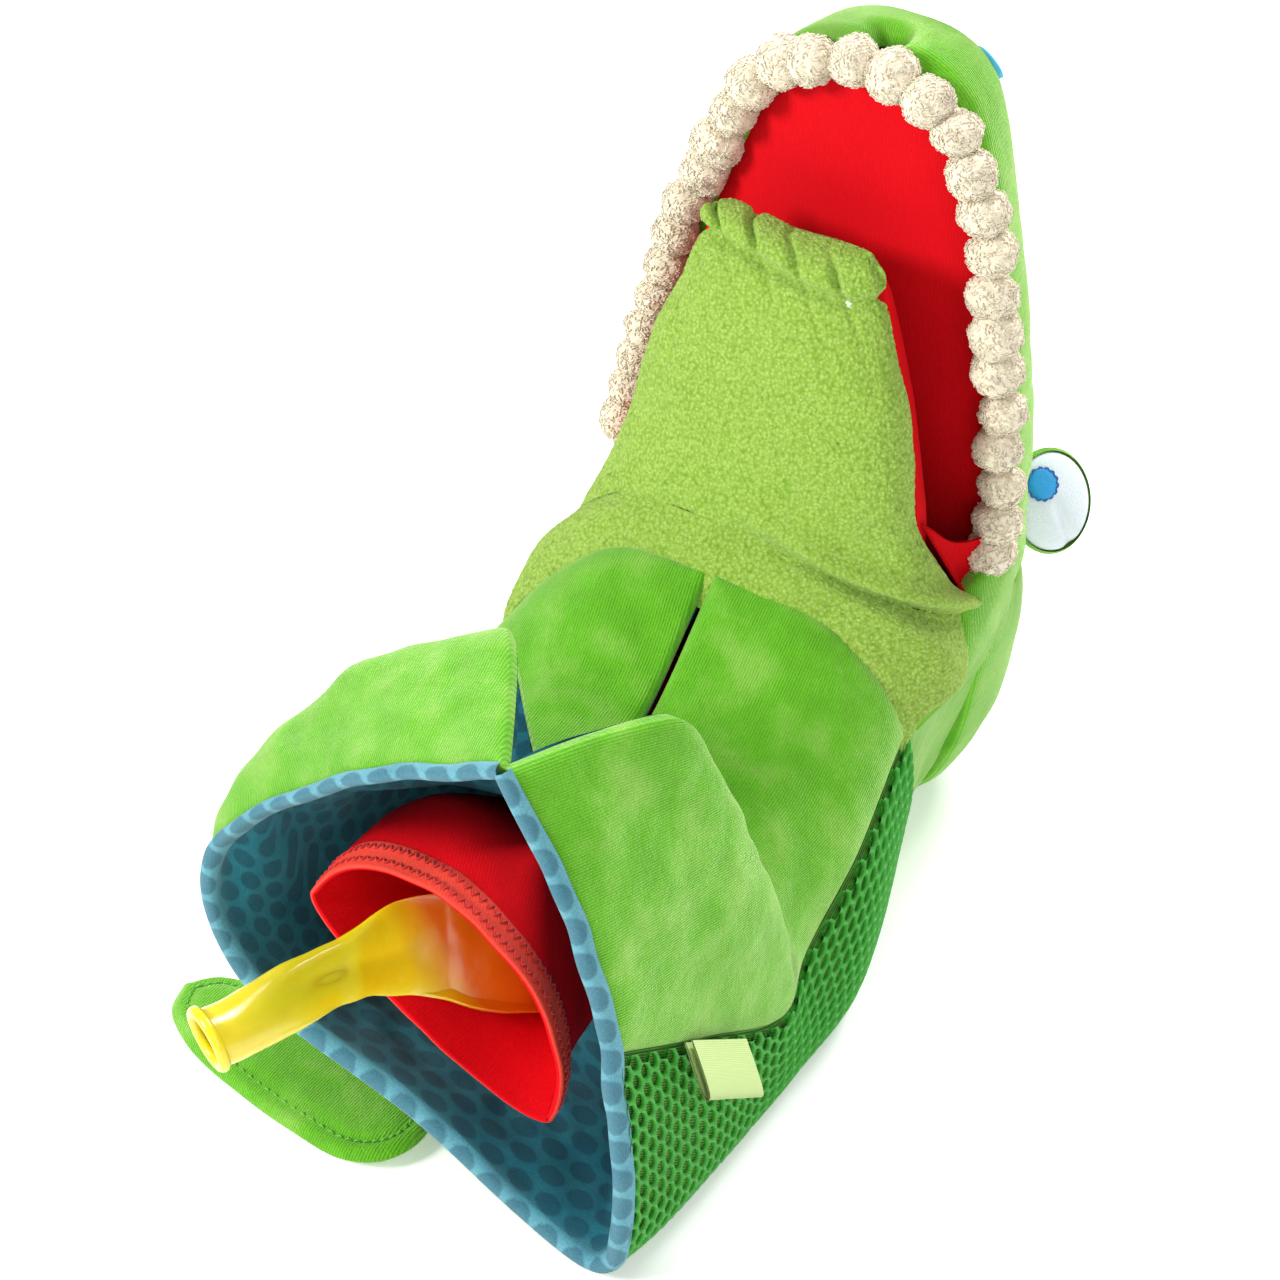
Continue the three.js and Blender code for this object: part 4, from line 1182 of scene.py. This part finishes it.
TAIL = {"root": (-14, 9), "thickness": 8, "turn": -0.17, "above_floor": 3.8}
TAIL_OUTLINE = [[-92, 0], [-87, -9], [-72, -16], [-48, -19], [-24, -19], [-8, -17], [1, -10], [4, 0], [1, 10],
                [-8, 17], [-24, 19], [-48, 19], [-72, 16], [-87, 9], [-92, 0]]
TOPSTITCH_INSET = 5.0


def on_tail(points):
    """Points of the tail's own plane put in place on the floor."""
    c, s = math.cos(TAIL["turn"]), math.sin(TAIL["turn"])
    x = TAIL["root"][0] + c * points[..., 0] - s * points[..., 1]
    y = TAIL["root"][1] + s * points[..., 0] + c * points[..., 1]
    return np.stack([x, y, points[..., 2]], axis=-1)


def add_tail():
    """A flat padded tail, topstitched round its edge."""
    outline = np.array([[x, y, 0] for x, y in TAIL_OUTLINE], float)
    edge = evenly(along(outline, np.linspace(0, len(outline) - 1, 400)), 1.2)[:-1]
    middle = np.stack([np.clip(edge[:, 0], -74, -13), np.zeros(len(edge)), np.zeros(len(edge))], axis=-1)
    share = np.array([0, 0.02, 0.06, 0.12, 0.2, 0.3, 0.4, 0.55, 0.7, 0.85, 1.0])
    reach = np.linalg.norm((edge - middle)[:, :2], axis=-1)
    rows = []
    for s in share:
        points = edge + (middle - edge) * s
        inset = reach * s
        crown = TAIL["thickness"] / 2 * (1 - np.exp(-inset / 2.2))
        crown = crown - 1.3 * np.exp(-((inset - TOPSTITCH_INSET) / 1.1) ** 2)
        rows.append((points, crown))
    upper = [p + np.array([0, 0, 1]) * c[:, None] for p, c in rows]
    lower = [p - np.array([0, 0, 1]) * np.minimum(c, 3.4)[:, None] for p, c in rows[1:]]
    points = on_tail(np.array(lower[::-1] + upper) + [0, 0, TAIL["above_floor"]])
    points[..., 2] = np.maximum(points[..., 2] + 0.4 * noise_at(points, 14, 97.0), FLOOR_CLEARANCE)
    uvs = points[..., :2] - points[..., :2].min(axis=(0, 1))
    tail = grid_object("tail_velour", points, uvs, closed=True)
    dress(tail, VELOUR, "velour", "tail", "tail")
    inward = unit(middle - edge)
    height = TAIL["above_floor"] + TAIL["thickness"] / 2 - 0.9
    seam = on_tail(edge + inward * TOPSTITCH_INSET + [0, 0, height])
    stitch = seam[: len(seam) // 3 * 3].reshape(-1, 3, 3)
    stitches = tubes("tail_topstitch", stitch + np.array([[0, 0, -0.5], [0, 0, 0.25], [0, 0, -0.5]]), 0.3, 5)
    dress(stitches, GREEN_THREAD, "velour", "tail")


LABEL_START, LABEL_END = (69.5, 26, 69), (71, 51, 50)
LABEL_OUT = (10, -6, -11)


def add_label():
    """A plain ribbon folded in a loop and caught in the right seam."""
    start, end, out = (np.array(p, float) for p in (LABEL_START, LABEL_END, LABEL_OUT))
    run = end - start
    up = unit(np.cross(run, out))
    turn = np.linspace(-1, 1, 41)
    reach = 1 - np.abs(turn) ** 2.2
    lift = 2.0 * np.sign(turn) * np.abs(np.sin(turn * np.pi / 2)) ** 0.7 * (1 - 0.35 * np.abs(turn))
    loop = reach[:, None] * out + lift[:, None] * up - 0.15 * out
    across = np.linspace(0, 1, 30)
    outer = start + across[None, :, None] * run + loop[:, None]
    inward = grid_normals(outer, 1) * 0.5
    points = np.concatenate([outer, (outer + inward)[::-1], outer[:1]])
    uvs = np.stack(np.broadcast_arrays(across[None] * 26, np.linspace(0, 80, len(points))[:, None]), axis=-1)
    made = grid_object("ribbon_label", points, uvs)
    dress(made, RIBBON, "ribbon", "glove", "woven_label")


BALLOON = [
    {"at": [-25, -55, 89], "wide": 8.2, "thick": 8.2},
    {"at": [-22.5, -48, 88], "wide": 8.2, "thick": 7.6},
    {"at": [-19, -32, 86.5], "wide": 8.8, "thick": 6.5},
    {"at": [-15.5, -12, 84], "wide": 8, "thick": 5},
    {"at": [-9, 6, 82], "wide": 12.5, "thick": 4.5},
    {"at": [3, 18, 78], "wide": 16, "thick": 4.5},
    {"at": [14, 32, 72], "wide": 18, "thick": 5},
    {"at": [20, 47, 66], "wide": 16, "thick": 5},
    {"at": [23, 58, 62], "wide": 8, "thick": 4},
    {"at": [23.6, 60, 61.2], "wide": 1, "thick": 0.5},
]
BALLOON_AXIS = (0.355, 0.907, -0.224)
LIP_AXIS = (0.40, 0.88, 0.16)
BALLOON_ACROSS = np.array([-0.4, 0.36, 0.83])


def add_balloon():
    """A limp balloon: its rolled lip outside the glove, its flat bag inside the sleeve."""
    sides = 96
    angle = 2 * np.pi * np.arange(sides) / sides
    nets = []
    for index, ring in enumerate(BALLOON):
        turned = min(index / 3, 1)
        axis = unit(np.array(LIP_AXIS) * (1 - turned) + np.array(BALLOON_AXIS) * turned)
        across = unit(BALLOON_ACROSS - axis * (BALLOON_ACROSS @ axis))
        up = np.cross(across, axis)
        radial = np.cos(angle)[:, None] * across * ring["wide"] + np.sin(angle)[:, None] * up * ring["thick"]
        nets.append(np.array(ring["at"], float) + radial)
    last = len(BALLOON) - 1
    vs = np.concatenate([np.linspace(0, last - 0.4, 190), np.linspace(last - 0.38, last, 8)])
    outer = along(np.array(nets), vs)
    centre = outer.mean(axis=1, keepdims=True)
    radial = unit(outer - centre)
    length = vs[:, None] / last
    crease = np.sin(angle[None] * 3 + 9 * length) * np.exp(-((vs[:, None] - 3) / 1.4) ** 2)
    dimple = noise_at(outer, 9, 101.0) * np.clip((vs[:, None] - 1.0) / 3, 0, 1)
    outer = outer + radial * (1.3 * crease + 0.9 * dimple)[..., None]
    slack = np.clip((vs[:, None] - 3.2) / 1.6, 0, 1) * np.clip((last - 0.5 - vs[:, None]) / 1.5, 0, 1)
    collapse = 6.5 * slack * np.clip(-np.sin(angle + 0.25), 0, 1)[None] ** 0.7
    outer = outer + collapse[..., None] * up
    inner_rows = along(np.array(nets), np.linspace(3, 0.05, 40))
    inner_centre = inner_rows.mean(axis=1, keepdims=True)
    inner = inner_rows - unit(inner_rows - inner_centre) * 1.3
    turn = np.linspace(-0.6 * np.pi, 1.35 * np.pi, 22)
    rim_radial = unit(np.array(nets[0]) - BALLOON[0]["at"])
    outward = -unit(np.array(LIP_AXIS))
    rim = np.array([np.array(nets[0]) + rim_radial * (1.5 * math.cos(t) - 0.2) + outward * 1.6 * math.sin(t)
                    for t in turn[::-1]])
    points = np.concatenate([inner, rim[::-1], outer[3:]])
    uvs = np.zeros((*points.shape[:2], 2))
    made = grid_object("balloon_latex", points, uvs, closed=True)
    dress(made, LATEX, "latex", "balloon", "balloon")


# ---- The whole puppet ---------------------------------------------------------------------------


def dress_hidden_solids():
    """The fillings and the two finger pockets keep their CAD shapes."""
    hidden = {
        "upper_jaw_filling": FILLING,
        "lower_jaw_filling": FILLING,
        "finger_pocket": POCKET,
        "thumb_pocket": POCKET,
    }
    for node, material in hidden.items():
        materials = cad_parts[node].data.materials
        materials.clear()
        materials.append(material)


add_velour_panels()
add_back()
add_lining()
add_neck()
add_corners()
add_collar()
add_sleeve()
add_head_velour()
add_palate()
add_teeth()
add_face()
add_lower_jaw()
add_mouth_webs()
add_throat()
add_tail()
add_label()
add_balloon()
dress_hidden_solids()


# ---- Floor, light and camera --------------------------------------------------------------------


def add_floor():
    edge, bend = 1.6, 0.0006
    corners = [(-edge, -edge), (edge, -edge), (edge, edge), (-edge, edge)]
    mesh = bpy.data.meshes.new("floor")
    mesh.from_pydata([(x, y, -bend) for x, y in corners], [], [[0, 1, 2, 3]])
    floor = bpy.data.objects.new("floor", mesh)
    bpy.context.scene.collection.objects.link(floor)
    mesh.materials.append(floor_material())


# Name, place, size in metres and power in watts. All three shine at the middle of the puppet.
LIGHTS = [
    ("key", (-0.8, -1.05, 0.9), 0.5, 23),
    ("fill", (0.9, -0.6, 0.7), 0.9, 4),
    ("rim", (0.1, 0.9, 1.1), 0.6, 18),
]
LIT_PLACE = (0, 0, 0.1)


def add_light(name, place, size, watts):
    light = bpy.data.lights.new(name, "AREA")
    light.shape = "DISK"
    light.size = size
    light.energy = watts
    lamp = bpy.data.objects.new(name, light)
    bpy.context.scene.collection.objects.link(lamp)
    lamp.location = place
    aim = Vector(LIT_PLACE) - Vector(place)
    lamp.rotation_euler = aim.to_track_quat("-Z", "Y").to_euler()


def add_camera():
    camera = bpy.data.objects.new("camera", bpy.data.cameras.new("camera"))
    bpy.context.scene.collection.objects.link(camera)
    camera.data.lens = 105
    camera.data.sensor_width = 36
    camera.location = (0.4414, -0.6814, 0.7549)
    camera.rotation_euler = (math.radians(52), 0, math.radians(33))
    bpy.context.scene.camera = camera


def add_world():
    world = bpy.data.worlds.new("studio")
    world.use_nodes = True
    background = world.node_tree.nodes["Background"]
    background.inputs["Color"].default_value = (1, 1, 1, 1)
    background.inputs["Strength"].default_value = 0.47
    bpy.context.scene.world = world


add_floor()
for light in LIGHTS:
    add_light(*light)
add_camera()
add_world()
bpy.context.scene.view_settings.view_transform = "Standard"
